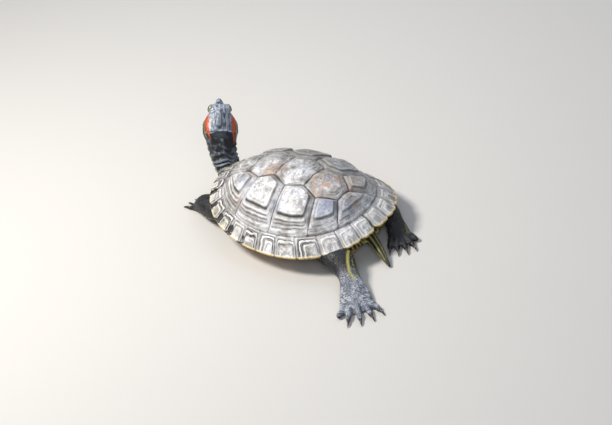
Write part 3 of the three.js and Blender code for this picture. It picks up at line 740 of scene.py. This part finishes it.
def headTube(rings=64, around=56):
    rows = np.array(headForm["stations"], float)
    stops = np.linspace(0, 1, rings)
    fine = np.column_stack([np.interp(stops, np.linspace(0, 1, len(rows)), column) for column in rows.T])
    for _ in range(4):
        fine[1:-1] = (fine[:-2] + 2 * fine[1:-1] + fine[2:]) / 4
    bm, row, angle = ringNet(rings, around)
    x, low, top, above, below = fine[row].T
    c, s = np.cos(angle), np.sin(angle)
    half = mix(low * (1 - 0.2 * np.maximum(-s, 0) ** 1.5), top, smooth(-0.1, 0.75, s))
    z = np.where(s > 0, powerOf(s, 0.8) * above, powerOf(s, 0.95) * below)
    place(bm, np.column_stack([x, powerOf(c, 0.84) * half, z]))
    bmesh.ops.transform(bm, matrix=headMatrix, verts=bm.verts)
    closeRings(bm)
    return bm


def ball(reach, centre, around, along):
    bm = bmesh.new()
    bmesh.ops.create_uvsphere(bm, u_segments=around, v_segments=along, radius=1)
    place(bm, coordinates(bm) * reach + centre)
    return bm


# the swelling over each eyeball
def orbitForm(side):
    orbit = headForm["orbit"]
    bm = ball(orbit["reach"], np.array(orbit["centre"]) * [1, side, 1], 32, 20)
    bmesh.ops.transform(bm, matrix=headMatrix, verts=bm.verts)
    return bm


# the body inside the shell: hidden at the bridges, and the loose skin of the leg pockets before and behind
def trunkForm(rings=30, around=84):
    bm, row, u = ringNet(rings, around)
    pocket, under = smooth(0.3, 0.6, np.abs(np.cos(u))), flesh["under"]
    stops, rho, level = [], [], []
    for stop, atBridge, atPocket, bridgeLevel, pocketLevel in flesh["trunk"]:
        stops.append(stop)
        rho.append(mix(atBridge, atPocket, pocket))
        level.append(mix(bridgeLevel, pocketLevel, pocket) if bridgeLevel else domeAt(rho[-1], u) - under)
    share = row / (rings - 1)
    radius, height = (np.array([np.interp(t, stops, values) for t, values in zip(share, np.transpose(rows))])
                      for rows in (rho, level))
    x, y = planOf(radius, u)
    place(bm, np.column_stack([x, y, np.minimum(height, domeAt(radius, u) - under - 1.5 * pocket)]))
    closeRings(bm, 0.05)
    return bm


forms = {
    "neck": [(40, -3, 20, 16, 11.5), (60, -4, 20, 16, 12), (76, -5, 20.5, 15.5, 12), (92, -7, 21.5, 15.2, 12.2),
             (104, -9.3, 28, 15, 13), (111, -11.7, 39, 14.8, 13.2), (114.6, -14, 51, 15.6, 12.8),
             (118.6, -19, 62, 16.8, 12.4), (124, -26, 69, 16.4, 12)],
    "tail": [(-52, 0, 17, 12, 9), (-78, 0, 17, 9.6, 8), (-99, 4, 12.8, 6.2, 5.8), (-117, 12, 6.4, 4.1, 4.1),
             (-128, 18, 3.3, 2.4, 2.4), (-134, 21, 1.7, 1.2, 1.3)],
    "front_left": [(50, 34, 18, 13, 10), (74, 40, 18, 13, 11), (94, 37, 16, 12.6, 11.6), (108, 32.5, 12.5, 11.3, 10.5),
                   (117, 29, 7.5, 10.7, 6.9), (123, 26.5, 3.4, 11.3, 3.5)],
    "front_right": [(48, -34, 18, 13, 10), (68, -46, 18, 13, 10.5), (84, -58, 15, 11.8, 9.6), (94, -66, 11, 10.2, 8),
                    (103, -72, 6.5, 10.4, 5.6), (108, -75, 3.2, 11.3, 3.4)],
    "hind_left": [(-44, 36, 17, 14, 10), (-68, 42, 17, 14.4, 10.8), (-94, 49, 16, 14, 11.4),
                  (-115, 61, 10.5, 10.4, 8.2), (-133, 76, 5.4, 14.8, 4.8), (-148, 90, 2.0, 18.5, 2.0)],
    "hind_right": [(-44, -36, 17, 14, 10), (-64, -42, 17, 13.2, 10.5), (-84, -40, 15, 12, 10.2),
                   (-98, -33, 10, 9.8, 7.6), (-108, -26, 5.6, 11.4, 4.8), (-116, -20, 2.5, 13, 2.7)],
}
# toes: place across the foot, turn in degrees, length
feet = {
    "hand": {"toes": [(-9, -26, 7), (-4.8, -12, 9.5), (0, 0, 10.5), (4.8, 12, 9.5), (9, 27, 7)], "radius": 2.4,
             "claw": 8, "claws": 5, "web": 0.4, "knuckle": 6, "bones": ("upper_arm", "forearm", "hand")},
    "paddle": {"toes": [(-16, -24, 11), (-8, -12, 16), (0, 0, 18), (8, 12, 16), (15.5, 30, 9)], "radius": 3.2,
               "claw": 8.5, "claws": 4, "web": 0.42, "knuckle": 17, "bones": ("thigh", "shank", "foot")},
}
# foot, which side its first toe is on, place of the wrist along the limb, and how far the toes are spread
limbs = {"front_left": ("hand", 1, 0.74, 1.0), "front_right": ("hand", -1, 0.74, 1.0),
         "hind_left": ("paddle", -1, 0.72, 1.0), "hind_right": ("paddle", 1, 0.72, 0.72)}
whole = bmesh.new()


def joinInto(bm):
    part = bpy.data.meshes.new("form")
    bm.to_mesh(part)
    bm.free()
    whole.from_mesh(part)
    bpy.data.meshes.remove(part)


for form in (trunkForm(), ball(*flesh["rump"].values(), 48, 24), ovalTube(forms["neck"], 44, 36), headTube(),
             orbitForm(1), orbitForm(-1), ovalTube(forms["tail"], 40, 20)):
    joinInto(form)


# A toe from its knuckle in the foot to the root of its claw, with a swollen last joint; and its claw.
def toeRows(at, r, length, claw, knuckle):
    toe = [at(-knuckle, r * 1.15, r * 0.6, r * 0.62), at(-knuckle * 0.45, r * 1.2, r * 0.8, r * 0.86),
           at(0, r * 1.12, r * 0.92, r * 0.95), at(length * 0.3, r * 1.02, r * 0.84, r * 0.9),
           at(length * 0.55, r * 1.1, r * 0.96, r * 1.0), at(length * 0.82, r * 0.92, r * 0.8, r * 0.86),
           at(length, r * 0.82, r * 0.66, r * 0.7), at(length + 0.9, r * 0.76, r * 0.3, r * 0.34)]
    nail = [at(length - 1.4, r * 0.8, 1.35, 1.5), at(length + 1.2, r * 0.88, 1.3, 1.45),
            at(length + claw * 0.5, r * 0.82, 0.95, 1.1), at(length + claw * 0.86, r * 0.42, 0.5, 0.58),
            at(length + claw + 0.2, 0.5, 0.12, 0.14)]
    return toe, nail


clawPlaces = {}
for name, (kind, side, wristAt, spread) in limbs.items():
    foot = feet[kind]
    rows = alongCurve(forms[name], 60)
    joinInto(ovalTube(forms[name], 46, 30, 0.92))
    end, wrist = rows[-1, :3], rows[int(59 * wristAt), :3]
    heading = math.atan2(end[1] - wrist[1], end[0] - wrist[0])
    across = np.array([-math.sin(heading), math.cos(heading), 0])
    ends = []
    for number, (offset, turn, length) in enumerate(foot["toes"]):
        way = heading + math.radians(turn) * side * spread
        ahead = np.array([math.cos(way), math.sin(way), 0])
        root = end + across * offset * side * spread

        def at(distance, z, w, h):
            return (*(root + ahead * distance)[:2], z, w, h)

        toe, nail = toeRows(at, foot["radius"], length, foot["claw"], foot["knuckle"])
        joinInto(ovalTube(toe, 26, 14))
        ends.append((root - ahead * 5, root + ahead * length * foot["web"]))
        if number < foot["claws"]:
            clawPlaces[f"claw_{name}_{number + 1}"] = nail
    # thin webs between neighbouring toes, cut back a little between their tips
    for (rootA, tipA), (rootB, tipB) in zip(ends, ends[1:]):
        web = []
        for t in (0.0, 0.35, 0.7, 0.92):
            a, b = mix(rootA, tipA, t), mix(rootB, tipB, t)
            web.append((*((a + b) / 2)[:2], 1.2 + 0.4 * (1 - t), np.linalg.norm(a - b) / 2 + 0.6,
                        mix(1.4, flesh["webThickness"], t)))
        joinInto(ovalTube(web, 20, 20))

formObject = objectFrom("forms", whole)
remesh = formObject.modifiers.new("voxels", "REMESH")
remesh.mode = "VOXEL"
remesh.voxel_size = flesh["voxel"] * mm
bpy.context.view_layer.update()
merged = bpy.data.meshes.new_from_object(formObject.evaluated_get(bpy.context.evaluated_depsgraph_get()))
bpy.data.objects.remove(formObject)
skin = bmesh.new()
skin.from_mesh(merged)
bpy.data.meshes.remove(merged)
place(skin, coordinates(skin) / mm)
# what lies deep inside the shell needs only a coarse net
deep = polarOf(*coordinates(skin)[:, :2].T)[0] < flesh["hidden"]
bmesh.ops.unsubdivide(skin, verts=[v for v, inside in zip(skin.verts, deep) if inside], iterations=2)
print("flesh forms merged:", len(skin.verts), "points")

# the head gets a finer net
skin.verts.ensure_lookup_table()
skin.verts.index_update()
x, y, z = intoHead(coordinates(skin)).T
headZone = (x > 0) & (np.hypot(y, z) < headForm["girth"]) & (x < 50)
fineEdges = [e for e in skin.edges if headZone[e.verts[0].index] and headZone[e.verts[1].index]]
bmesh.ops.subdivide_edges(skin, edges=fineEdges, cuts=1, use_grid_fill=True)
bmesh.ops.triangulate(skin, faces=[f for f in skin.faces if len(f.verts) > 4])
for _ in range(3):
    bmesh.ops.smooth_vert(skin, verts=skin.verts, factor=0.5, use_axis_x=True, use_axis_y=True, use_axis_z=True)
skin.normal_update()
points = coordinates(skin)
normals = np.array([v.normal[:] for v in skin.verts])
inHead = intoHead(points)
rho, bearing = polarOf(points[:, 0], points[:, 1])
everyPoint = np.arange(len(points))

# where each point lies along and around its limb
names = {name: code for code, name in enumerate(forms, 1)}
nearest = np.full(len(points), 1.7)
limbOf, runs, turns = (np.zeros(len(points)) for _ in range(3))
for name, code in names.items():
    rows = alongCurve(forms[name], 70)
    ahead, side, normal = framesOf(rows)
    length = np.concatenate([[0], np.cumsum(np.linalg.norm(np.diff(rows[:, :3], axis=0), axis=1))])
    away = points[:, None, :] - rows[None, :, :3]
    reach = np.linalg.norm(away, axis=2) / np.maximum(rows[:, 3], rows[:, 4])
    best = reach.argmin(1)
    away, reach = away[everyPoint, best], reach[everyPoint, best]
    closer = reach < nearest
    nearest = np.where(closer, reach, nearest)
    limbOf = np.where(closer, code, limbOf)
    runs = np.where(closer, length[best] + (away * ahead[best]).sum(1), runs)
    turns = np.where(closer, np.arctan2((away * side[best]).sum(1), (away * normal[best]).sum(1)), turns)
aboutHead = (np.hypot(inHead[:, 1], inHead[:, 2]) < headForm["girth"]) & (points[:, 2] > headForm["rear"][2] - 20)
isHead = smooth(-1, 3, inHead[:, 0]) * aboutHead
isNeck = (limbOf == names["neck"]) * (1 - isHead)
isTail = limbOf == names["tail"]
isLimb = (limbOf > 2) * (1 - isHead)
pocketSkin = (nearest > 1.13) * (points[:, 2] < 30) * (rho > 0.4) * (rho < 0.99) * (1 - isHead)
print("skin points placed on their limbs")

# the face: jaws, nostrils, eardrums and what lies over the skull
x, y, z = inHead.T
lateral = np.abs(y)
mouthLine = z + 2.4 + 0.05 * (46 - x) - smooth(28, 22, x)
mouth = smooth(20.5, 24, x) * isHead
lipLine = bell(mouthLine, 0.4) * mouth
push = 0.3 * bell(mouthLine - 1.2, 0.8) * mouth - 0.85 * lipLine
nostril = np.linalg.norm(np.column_stack([x, lateral, z]) - headForm["nostril"], axis=1)
drum = np.hypot(x - headForm["eardrum"][0], z - headForm["eardrum"][1])
push -= 0.9 * bell(nostril, 0.62) + (0.4 * (1 - smooth(3.6, 4.6, drum)) - 0.2 * bell(drum - 5.0, 0.7)) * (lateral > 8)
push += lumps(inHead * [0.35, 1, 1], headForm["uneven"], 4.0)
# the smooth crown ends in a low step, and a faint ridge runs back from each eye over the temple
crown = smooth(3, -3, np.degrees(np.arctan2(lateral, z + 2)) - 62)
past = x - headForm["crownEnd"]
push += (0.35 * smooth(-0.6, 0.6, past - 0.4 * np.sin(y)) - 0.3 * bell(past + 0.9, 0.6)) * crown
push += 0.5 * bell(z - 9.6 + 0.04 * (34 - x), 1.7) * span(x, 14, 24, 34, 38) * (lateral > 4)
points = points + normals * (push * isHead)[:, None]
inHead = intoHead(points)

# lids: the skin wraps the eyeball and leaves an almond opening
eye, radius = np.array(headForm["eye"]), headForm["eyeRadius"]
lids = {"length": 52, "height": 39, "thick": 0.8, "fall": 2.6, "out": (0.2, 0.86, 0.46), "fore": (1, -0.33, -0.12)}
halfLength, halfHeight = (math.sin(math.radians(lids[key])) for key in ("length", "height"))
lid, slit = np.zeros(len(points)), np.zeros(len(points))
for side in (1, -1):
    mirror = np.array([1, side, 1])
    out = unit(lids["out"] * mirror)
    fore = lids["fore"] * mirror
    fore = unit(fore - out * (fore @ out))
    away = inHead - eye * mirror
    reach = np.linalg.norm(away, axis=1)
    direction = away / np.maximum(reach, 1e-6)[:, None]
    a, b, k = direction @ fore, direction @ np.cross(out, fore) * side, direction @ out
    opening = np.where(k > 0, np.hypot(a / halfLength, (b - 0.04) / halfHeight), 3.0)
    overlid = radius + lids["thick"]
    height = np.where(opening < 1, mix(radius - 1.3, overlid, smooth(0.8, 1.0, opening)),
                      overlid - lids["fall"] * np.maximum(opening - 1.1, 0))
    target = np.where(opening < 1, height, np.maximum(reach, height))
    crease = 0.35 * bell(opening - 1.5, 0.1) * (b > 0) + 0.3 * bell(opening - 1.42, 0.1) * (b < 0)
    near = reach < radius + 5
    target = np.where((k > 0.02) & near, target - crease * (reach < radius + 3.5), reach)
    inHead = eye * mirror + direction * target[:, None]
    lid = np.maximum(lid, (1 - smooth(1.25, 1.7, opening)) * near)
    slit = np.maximum(slit, (bell(opening - 1.0, 0.1) + bell(opening - 1.52, 0.09)) * near)
points = np.where((isHead > 0)[:, None], inHead @ headAxes.T + np.array(headForm["rear"]), points)
inHead = intoHead(points)
print("face shaped")

# folds and scales of the skin, in mm, and the girth that a turn about each part stands for
folds = {"neckStep": 6.0, "neckDepth": 1.7, "limbStep": 5.2, "limbDepth": 0.32, "scaleDepth": 0.26, "scaleAlong": 2.5,
         "scaleAcross": 3.0, "bareNeck": (35, 52), "lowNeck": (62, 46), "ragged": (1, 11), "fine": (1, 4),
         "girth": {"neck": 14, "tail": 5, "limb": 11}}


# narrow furrows about the zeros of a wave
def furrows(wave):
    return (1 - np.abs(wave)) ** 2


ragged, fine = lumps(points, folds["ragged"], 8.0), lumps(points, folds["fine"], 15.0)
girths = np.array([folds["girth"].get(part, folds["girth"]["limb"]) for part in ("", *forms)])
lie = np.column_stack([runs, turns * girths[limbOf.astype(int)], limbOf * 31])
lie = np.where((limbOf == 0)[:, None], points, lie)
lie = np.where((isHead > 0.5)[:, None], inHead * [0.22, 1, 1] + [0, 0, 400], lie)
low = smooth(*folds["lowNeck"], points[:, 2])
wave = np.sin(2 * math.pi * runs / folds["neckStep"] + 2.6 * ragged + 0.9 * np.cos(turns))
bare = isNeck * smooth(*folds["bareNeck"], runs)
neckFold = bare * mix(0.22, 1.0, low)
limbWave = np.sin(2 * math.pi * runs / folds["limbStep"] + 4.0 * ragged + 1.2 * turns)
push = -folds["neckDepth"] * neckFold * (0.5 - 0.5 * wave) ** 1.6
push -= 0.3 * bare * furrows(np.sin(2 * math.pi * runs / 2.4 + 5 * fine))
push -= folds["limbDepth"] * isLimb * furrows(limbWave)
push -= 0.6 * pocketSkin * furrows(np.sin(0.8 * points[:, 1] + 0.5 * points[:, 2] + 4 * ragged))
cells = np.zeros(len(points))
scaly = (isLimb > 0) | isTail
for i in np.flatnonzero(scaly):
    near = noise.voronoi(Vector((lie[i, 0] / folds["scaleAlong"], lie[i, 1] / folds["scaleAcross"], limbOf[i])))[0]
    cells[i] = min(near[1] - near[0], 0.5) * 2
push += folds["scaleDepth"] * (cells - 0.5) * scaly + 0.12 * fine * (1 - isHead)
points = points + normals * push[:, None]
# no skin stands proud of the rim plates it comes out from under
rho, bearing = polarOf(points[:, 0], points[:, 1])
inner = clamp((1 - rho) / (1 - shell["sulcus"]))
roof = domeAt(np.minimum(rho, 1), bearing) - mix(*flesh["underRim"], inner) + 300 * np.maximum(rho - 0.995, 0)
points[:, 2] = np.maximum(np.where(rho > 0.6, np.minimum(points[:, 2], roof), points[:, 2]), flesh["floor"])
place(skin, points)
skin.normal_update()
print("skin folded and scaled")

# Markings of the skin, by angle round the head, the neck and each limb.
x, y, z = inHead.T
lateral = np.abs(y)
crownAngle = np.degrees(np.arctan2(lateral, z + 2.0)) + 1.6 * ragged
onHead, onNeck, onKnee = isHead > 0.5, isNeck > 0.5, limbOf == names["hind_left"]
taper = 6 * smooth(11, -2, x) + 3 * smooth(20, 27, x)
red = span(crownAngle, 42 + taper, 44.5 + taper, 58 - taper, 61 - taper) * span(x, -3.5, -1, 25.5, 27.5) * aboutHead


def line(angle, middle, half, soft=2.0):
    return 1 - smooth(half, half + soft, np.abs(angle - middle))


# on each part, the middle angle and half width of each stripe, where it starts and ends along a limb, its strength
stripes = {
    "head": [(66, 0.8, 0.6), (84, 1.4, 1), (98, 2.0, 1), (112, 1.4, 1), (128, 2.6, 1), (148, 1.8, 1), (168, 2.4, 1)],
    "neck": [(86, 1.6, 1), (104, 3.2, 1), (126, 2.4, 1), (150, 3.4, 1), (172, 2.4, 1)],
    "hind_left": [(-118, 6, 30, 100, 0.7), (112, 7, 40, 90, 0.9), (150, 8, 40, 100, 0.9)],
    "hind_right": [(66, 3, 30, 80, 0.3), (-108, 5, 30, 90, 0.4), (118, 6, 30, 90, 0.7)],
    "front_left": [(-52, 5, 30, 84, 0.9), (-96, 6, 30, 88, 0.9), (118, 5, 30, 84, 0.7), (-20, 3, 50, 84, 0.5)],
    "front_right": [(52, 5, 30, 84, 0.9), (96, 6, 30, 88, 0.9), (-60, 5, 30, 84, 0.8), (14, 3, 40, 84, 0.7)],
    "tail": [(-26, 4, 20, 84, 1.0), (32, 4, 20, 84, 1.0), (-84, 8, 20, 88, 0.9), (88, 8, 20, 88, 0.9)],
}
turnAngle = np.degrees(turns)
onFace = onHead * (x < 41)
painted = [share * line(crownAngle, middle, half) * onFace for middle, half, share in stripes.pop("head")]
painted += [share * line(np.abs(turnAngle) + 2 * ragged, middle, half, 3) * onNeck
            for middle, half, share in stripes.pop("neck")]
for name, rows in stripes.items():
    for middle, half, start, stop, share in rows:
        bend = 6 * np.sin(runs / 15.0 + middle) - 5 * ragged
        painted.append(share * line(turnAngle, middle + bend, half, 5) * (limbOf == names[name]) *
                       span(runs, start, start + 6, stop - 6, stop))
# the broad curved stripe over the left knee (where along the leg, and its angle), and the short bars behind it
knee = [(46, 78), (52, 60), (58, 36), (68, 15), (77, 7), (84, 17), (90, 26)]
kneeAngle = np.interp(runs, *zip(*knee))
painted.append(line(turnAngle + 2 * ragged, kneeAngle, 6.5, 4) * onKnee * span(runs, 44, 50, 84, 91))
bars = smooth(0.2, 0.6, np.sin(runs * 0.9 + 5 * fine)) * smooth(0.1, 0.5, np.sin(turns * 9 + 3 * fine))
behind = turnAngle + 5 * ragged
painted.append(bars * onKnee * smooth(38, 44, behind) * (behind > kneeAngle + 18) * (runs < 84))
bands = np.sin(2 * math.pi * (np.degrees(bearing) * 1.55 + 0.3 * points[:, 2] + 2 * ragged) / 5.0)
painted.append(0.9 * smooth(0.35, 0.75, bands) * pocketSkin * (points[:, 0] < 0))
yellow = np.maximum.reduce(painted)

dusty = smooth(64, 92, runs) * onKnee * mix(0.35, 1.0, smooth(-0.2, 0.6, normals[:, 2]))
webbed = smooth(4.2, 3.0, points[:, 2]) * smooth(110, 118, runs) * (limbOf > 2) * (normals[:, 2] > 0.2)
past = x - headForm["crownEnd"]
bloom = (1 - smooth(40, 58, crownAngle)) * smooth(-1, 1, past)
# painted light: the pale bloom is weakened on the crown's right side, away from the key light, most toward the back
bloom = bloom * mix(0.5, 1.0, clamp(smooth(-5, 9, y) + 0.8 * smooth(20, 30, x)))
bloom = np.maximum(bloom, 1.3 * bell(past - 0.3, 0.7) * crown) * onHead
# painted highlight: the crests of the lower neck folds, and patches all over the neck, are lightened as if they shone
wet = 1.2 * neckFold * low * clamp(0.5 + 0.5 * wave) ** 3 + isNeck * 0.45 * smooth(0.0, 0.6, fine)
beak = smooth(34, 38, x) * span(z, -9.5, -8.5, 0.5, 1.5) * onHead * (1 - lid)
# painted shade in the skin's furrows; the low webs between the toes and the mouth line are darkened as well
crease = np.maximum.reduce([-0.8 * np.minimum(push, 0), 1.4 * webbed, 1.5 * lipLine])
fields = {"gloss": isHead + 0.75 * isNeck, "bloom": bloom, "wet": wet, "scale": cells * 1.5, "dusty": dusty,
          "beak": beak, "lid": lid * (1 - 0.6 * slit), "yellow": yellow * (1 - lid), "red": red, "crease": crease}
layOn(skin, {"lie": lie, **{key: clamp(values) for key, values in fields.items()}})

# Turtle skin: dark leather of small pebbled scales in rows, sleek over neck and skull, dust dried on the stretched leg.
skinLook = {
    # the blue-grey for the neck is a painted highlight
    "dark": "#0e1012", "slate": "#2a2b30", "skull": ("#12161c", "#313a45"), "bloom": "#bcc6d6", "wet": "#8893a2",
    # the near-black crease colour is painted shade in the furrows
    "dust": ("#8e96a5", "#ccd0da"), "dustDark": "#2b3037", "crease": "#07080a", "pebble": 1.7,
    "roughness": (0.46, 0.32), "ior": 1.48, "bump": (0.7, 0.0004),
    "beak": ("#6f6a49", "#12161c"), "lid": ("#313a45", "#93a0ad"), "yellow": ("#7f7a35", "#c9c36b"),
    "red": ("#9c3214", "#cd5b31"),
    "noises": [(0, 9, 4, 0.6, 0), (0, 1.3, 3, 0.6, 0), (1, 1600, 4, 0.6, 0), (0, 6, 4, 0.6, 0)],
}


def turtleSkin():
    look = skinLook
    (material, add, _, lie, gloss, bloom, wet, scale, dusty, beak, lid, yellow, red, crease, cloud, grain, streak,
     patchy) = startMaterial("turtle skin, pebbled and striped", ["lie"], list(fields), look["noises"])
    rows = add("Mapping", {"Vector": lie, "Scale": (1.0, 0.55, 1.0)})
    cell = add("TexVoronoi", {"Vector": rows, "Scale": 1 / look["pebble"]}, feature="DISTANCE_TO_EDGE")
    ground = add("Mix", ((cloud, [(0.35, 0), (0.65, 1)]), look["dark"], look["slate"]), **inColour)
    worn = add("Math", (streak, 0.6, add("Math", (cloud, 0.4), **times)), **timesPlus)
    worn = add("Math", (bloom, (worn, [(0.4, 0.03), (0.5, 0.42), (0.6, 1)])), **times)
    skull = add("Mix", (worn, add("Mix", (cloud, *look["skull"]), **inColour), look["bloom"]), **inColour)
    scaled = add("Math", ((scale, [(0, 0.35), (0.4, 1)]), (cell, [(0, 0), (0.14, 1)])), **times)
    dust = add("Mix", ((cloud, [(0.38, 0), (0.6, 1)]), *look["dust"]), **inColour)
    # the second coat is a painted highlight on the neck
    coats = [((cell, [(0, 1), (0.25, 0)]), 0.55, look["dark"]), (wet, 0.95, look["wet"]),
             ((gloss, [(0.74, 0), (0.95, 1)]), 1, skull),
             ((patchy, [(0.36, 0.65), (0.56, 1)]), dusty, add("Mix", (scaled, look["dustDark"], dust), **inColour))]
    for field, strength, pattern, tones in ((beak, 1, streak, "beak"), (lid, 0.8, grain, "lid"),
                                            (yellow, 1, grain, "yellow"), (red, 1, grain, "red")):
        coats.append((field, strength, add("Mix", (pattern, *look[tones]), **inColour)))
    # painted shade in the furrows, with the dark webs and mouth line
    coats.append((crease, 0.6, look["crease"]))
    rough, sleek = look["roughness"]
    bumps = add("Math", ((cell, [(0, 0), (0.25, 1)]), add("Math", (gloss, -0.85, 1), **timesPlus)), **times)
    height = add("Math", (grain, 0.2, add("Math", (streak, 0.3, bumps), **timesPlus)), **timesPlus)
    finishMaterial(add, ground, coats, {"IOR": look["ior"], "Roughness": (gloss, [(0, rough), (1, sleek)])},
                   (*look["bump"], height))
    return material


fleshNodes = [f"{bone}_{name}" for name, (kind, *_) in limbs.items() for bone in feet[kind]["bones"]]
finishPiece("turtleSkin", skin, turtleSkin(), ["trunk", "neck", "head", "tail"] + fleshNodes)
print("skin made")

# Claw horn: dark and polished by the ground.
claws = {"tones": ("#1c1916", "#4a4036"), "roughness": 0.32, "ior": 1.54}
clawHorn, add, _, streak = startMaterial("claw horn, dark and polished", noises=[(0, 1.8, 3, 0.5, 0)])
finishMaterial(add, add("Mix", (streak, *claws["tones"]), **inColour), [],
               {"Roughness": claws["roughness"], "IOR": claws["ior"]})
for name, rows in clawPlaces.items():
    bm = ovalTube(rows, 14, 14)
    place(bm, np.maximum(coordinates(bm), [-np.inf, -np.inf, flesh["floor"]]))
    finishPiece(pieceName(name), bm, clawHorn, [name])
print("claws made")

# Eye: clear wet cornea over a yellow-green iris, round pupil and a dark bar through it.
eyeLook = {"bar": "#0a0a08", "roughness": 0.12, "ior": 1.38, "coat": 0.03, "cornea": 0.35,
           "rings": [(0.0, "#1a1a14"), (0.80, "#1f1f16"), (0.83, "#8f8a2e"), (0.90, "#b8b23e"), (0.945, "#4a4a1c"),
                     (0.952, "#050505"), (1.0, "#030303")]}
wetEye, add, _, gaze, bar = startMaterial("wet eye, yellow-green iris", fields=["gaze", "bar"])
finishMaterial(add, (gaze, eyeLook["rings"]), [(bar, 1, eyeLook["bar"])], {
    "Roughness": eyeLook["roughness"], "IOR": eyeLook["ior"], "Coat Weight": 1.0, "Coat Roughness": eyeLook["coat"]})
for side, label in ((1, "left"), (-1, "right")):
    mirror = [1, side, 1]
    out = unit(lids["out"] * np.array(mirror))
    bm = ball([radius] * 3, [0, 0, 0], 40, 24)
    local = coordinates(bm)
    gaze = clamp(local @ out / radius)
    layOn(bm, {"gaze": gaze, "bar": bell(local[:, 2] - 1.2, 0.55) * (gaze > 0.6)})
    place(bm, local + out * (eyeLook["cornea"] * smooth(0.86, 1.0, gaze))[:, None] + eye * mirror)
    bmesh.ops.transform(bm, matrix=headMatrix, verts=bm.verts)
    finishPiece(f"{label}Eye", bm, wetEye, [f"eye_{label}"])
print("eyes made")

# floor, light and camera
studio = {"floor": "#c8c6c2", "floorSize": 3000, "roughness": 0.85, "world": "#dfe5ee", "worldStrength": 0.28,
          # place, what it is aimed at, size, power in W, colour
          "lights": {"keyLight": ((0.5, 0.42, 1.0), (0, 0, 0.03), 0.32, 16.8, "#fffaf3"),
                     "skyLight": ((0.2, -0.9, 1.1), (0, 0, 0.03), 1.2, 6, "#e4edff"),
                     "fillLight": ((-1.1, 0.9, 0.9), (0, 0, 0.03), 0.8, 7, "#eef3ff")}}
paper, add, _ = startMaterial("studio floor, matt paper")
finishMaterial(add, studio["floor"], [], {"Roughness": studio["roughness"]})
bm = bmesh.new()
bmesh.ops.create_grid(bm, x_segments=1, y_segments=1, size=studio["floorSize"])
floor = objectFrom("studioFloor", bm)
floor.data.materials.append(paper)

world = bpy.data.worlds.new("studio")
world.use_nodes = True
sky = world.node_tree.nodes["Background"].inputs
sky[0].default_value, sky[1].default_value = hexColor(studio["world"]), studio["worldStrength"]
bpy.context.scene.world = world

for name, (spot, target, size, watts, colour) in studio["lights"].items():
    lamp = bpy.data.lights.new(name, "AREA")
    lamp.size, lamp.energy, lamp.color = size, watts, hexColor(colour)[:3]
    light = bpy.data.objects.new(name, lamp)
    light.location = spot
    light.rotation_euler = (Vector(target) - Vector(spot)).to_track_quat("-Z", "Y").to_euler()
    sceneObjects.link(light)

view = {"yaw": 137.64, "pitch": 32.464, "roll": -12.513, "distance": 1.9, "aim": (0, 0, 0.04), "sensor": 36,
        "pixelsPerMm": 0.9718, "centre": (296.158, 191.418), "frame": (612, 425), "clip": (0.1, 20)}
yaw, pitch, roll = (math.radians(view[k]) for k in ("yaw", "pitch", "roll"))
turned = Euler((math.pi / 2 - pitch, 0, math.pi / 2 + yaw)).to_matrix() @ Matrix.Rotation(roll, 3, "Z")
wide, high = view["frame"]
lens = bpy.data.cameras.new("camera")
lens.sensor_width = view["sensor"]
lens.lens = view["sensor"] * view["distance"] / mm * view["pixelsPerMm"] / wide
lens.shift_x, lens.shift_y = (wide / 2 - view["centre"][0]) / wide, (view["centre"][1] - high / 2) / wide
lens.clip_start, lens.clip_end = view["clip"]
camera = bpy.data.objects.new("camera", lens)
camera.matrix_world = Matrix.Translation(Vector(view["aim"]) + turned.col[2] * view["distance"]) @ turned.to_4x4()
sceneObjects.link(camera)
bpy.context.scene.camera = camera
bpy.context.scene.view_settings.view_transform = "Standard"
print("stage made")

bpy.context.view_layer.update()
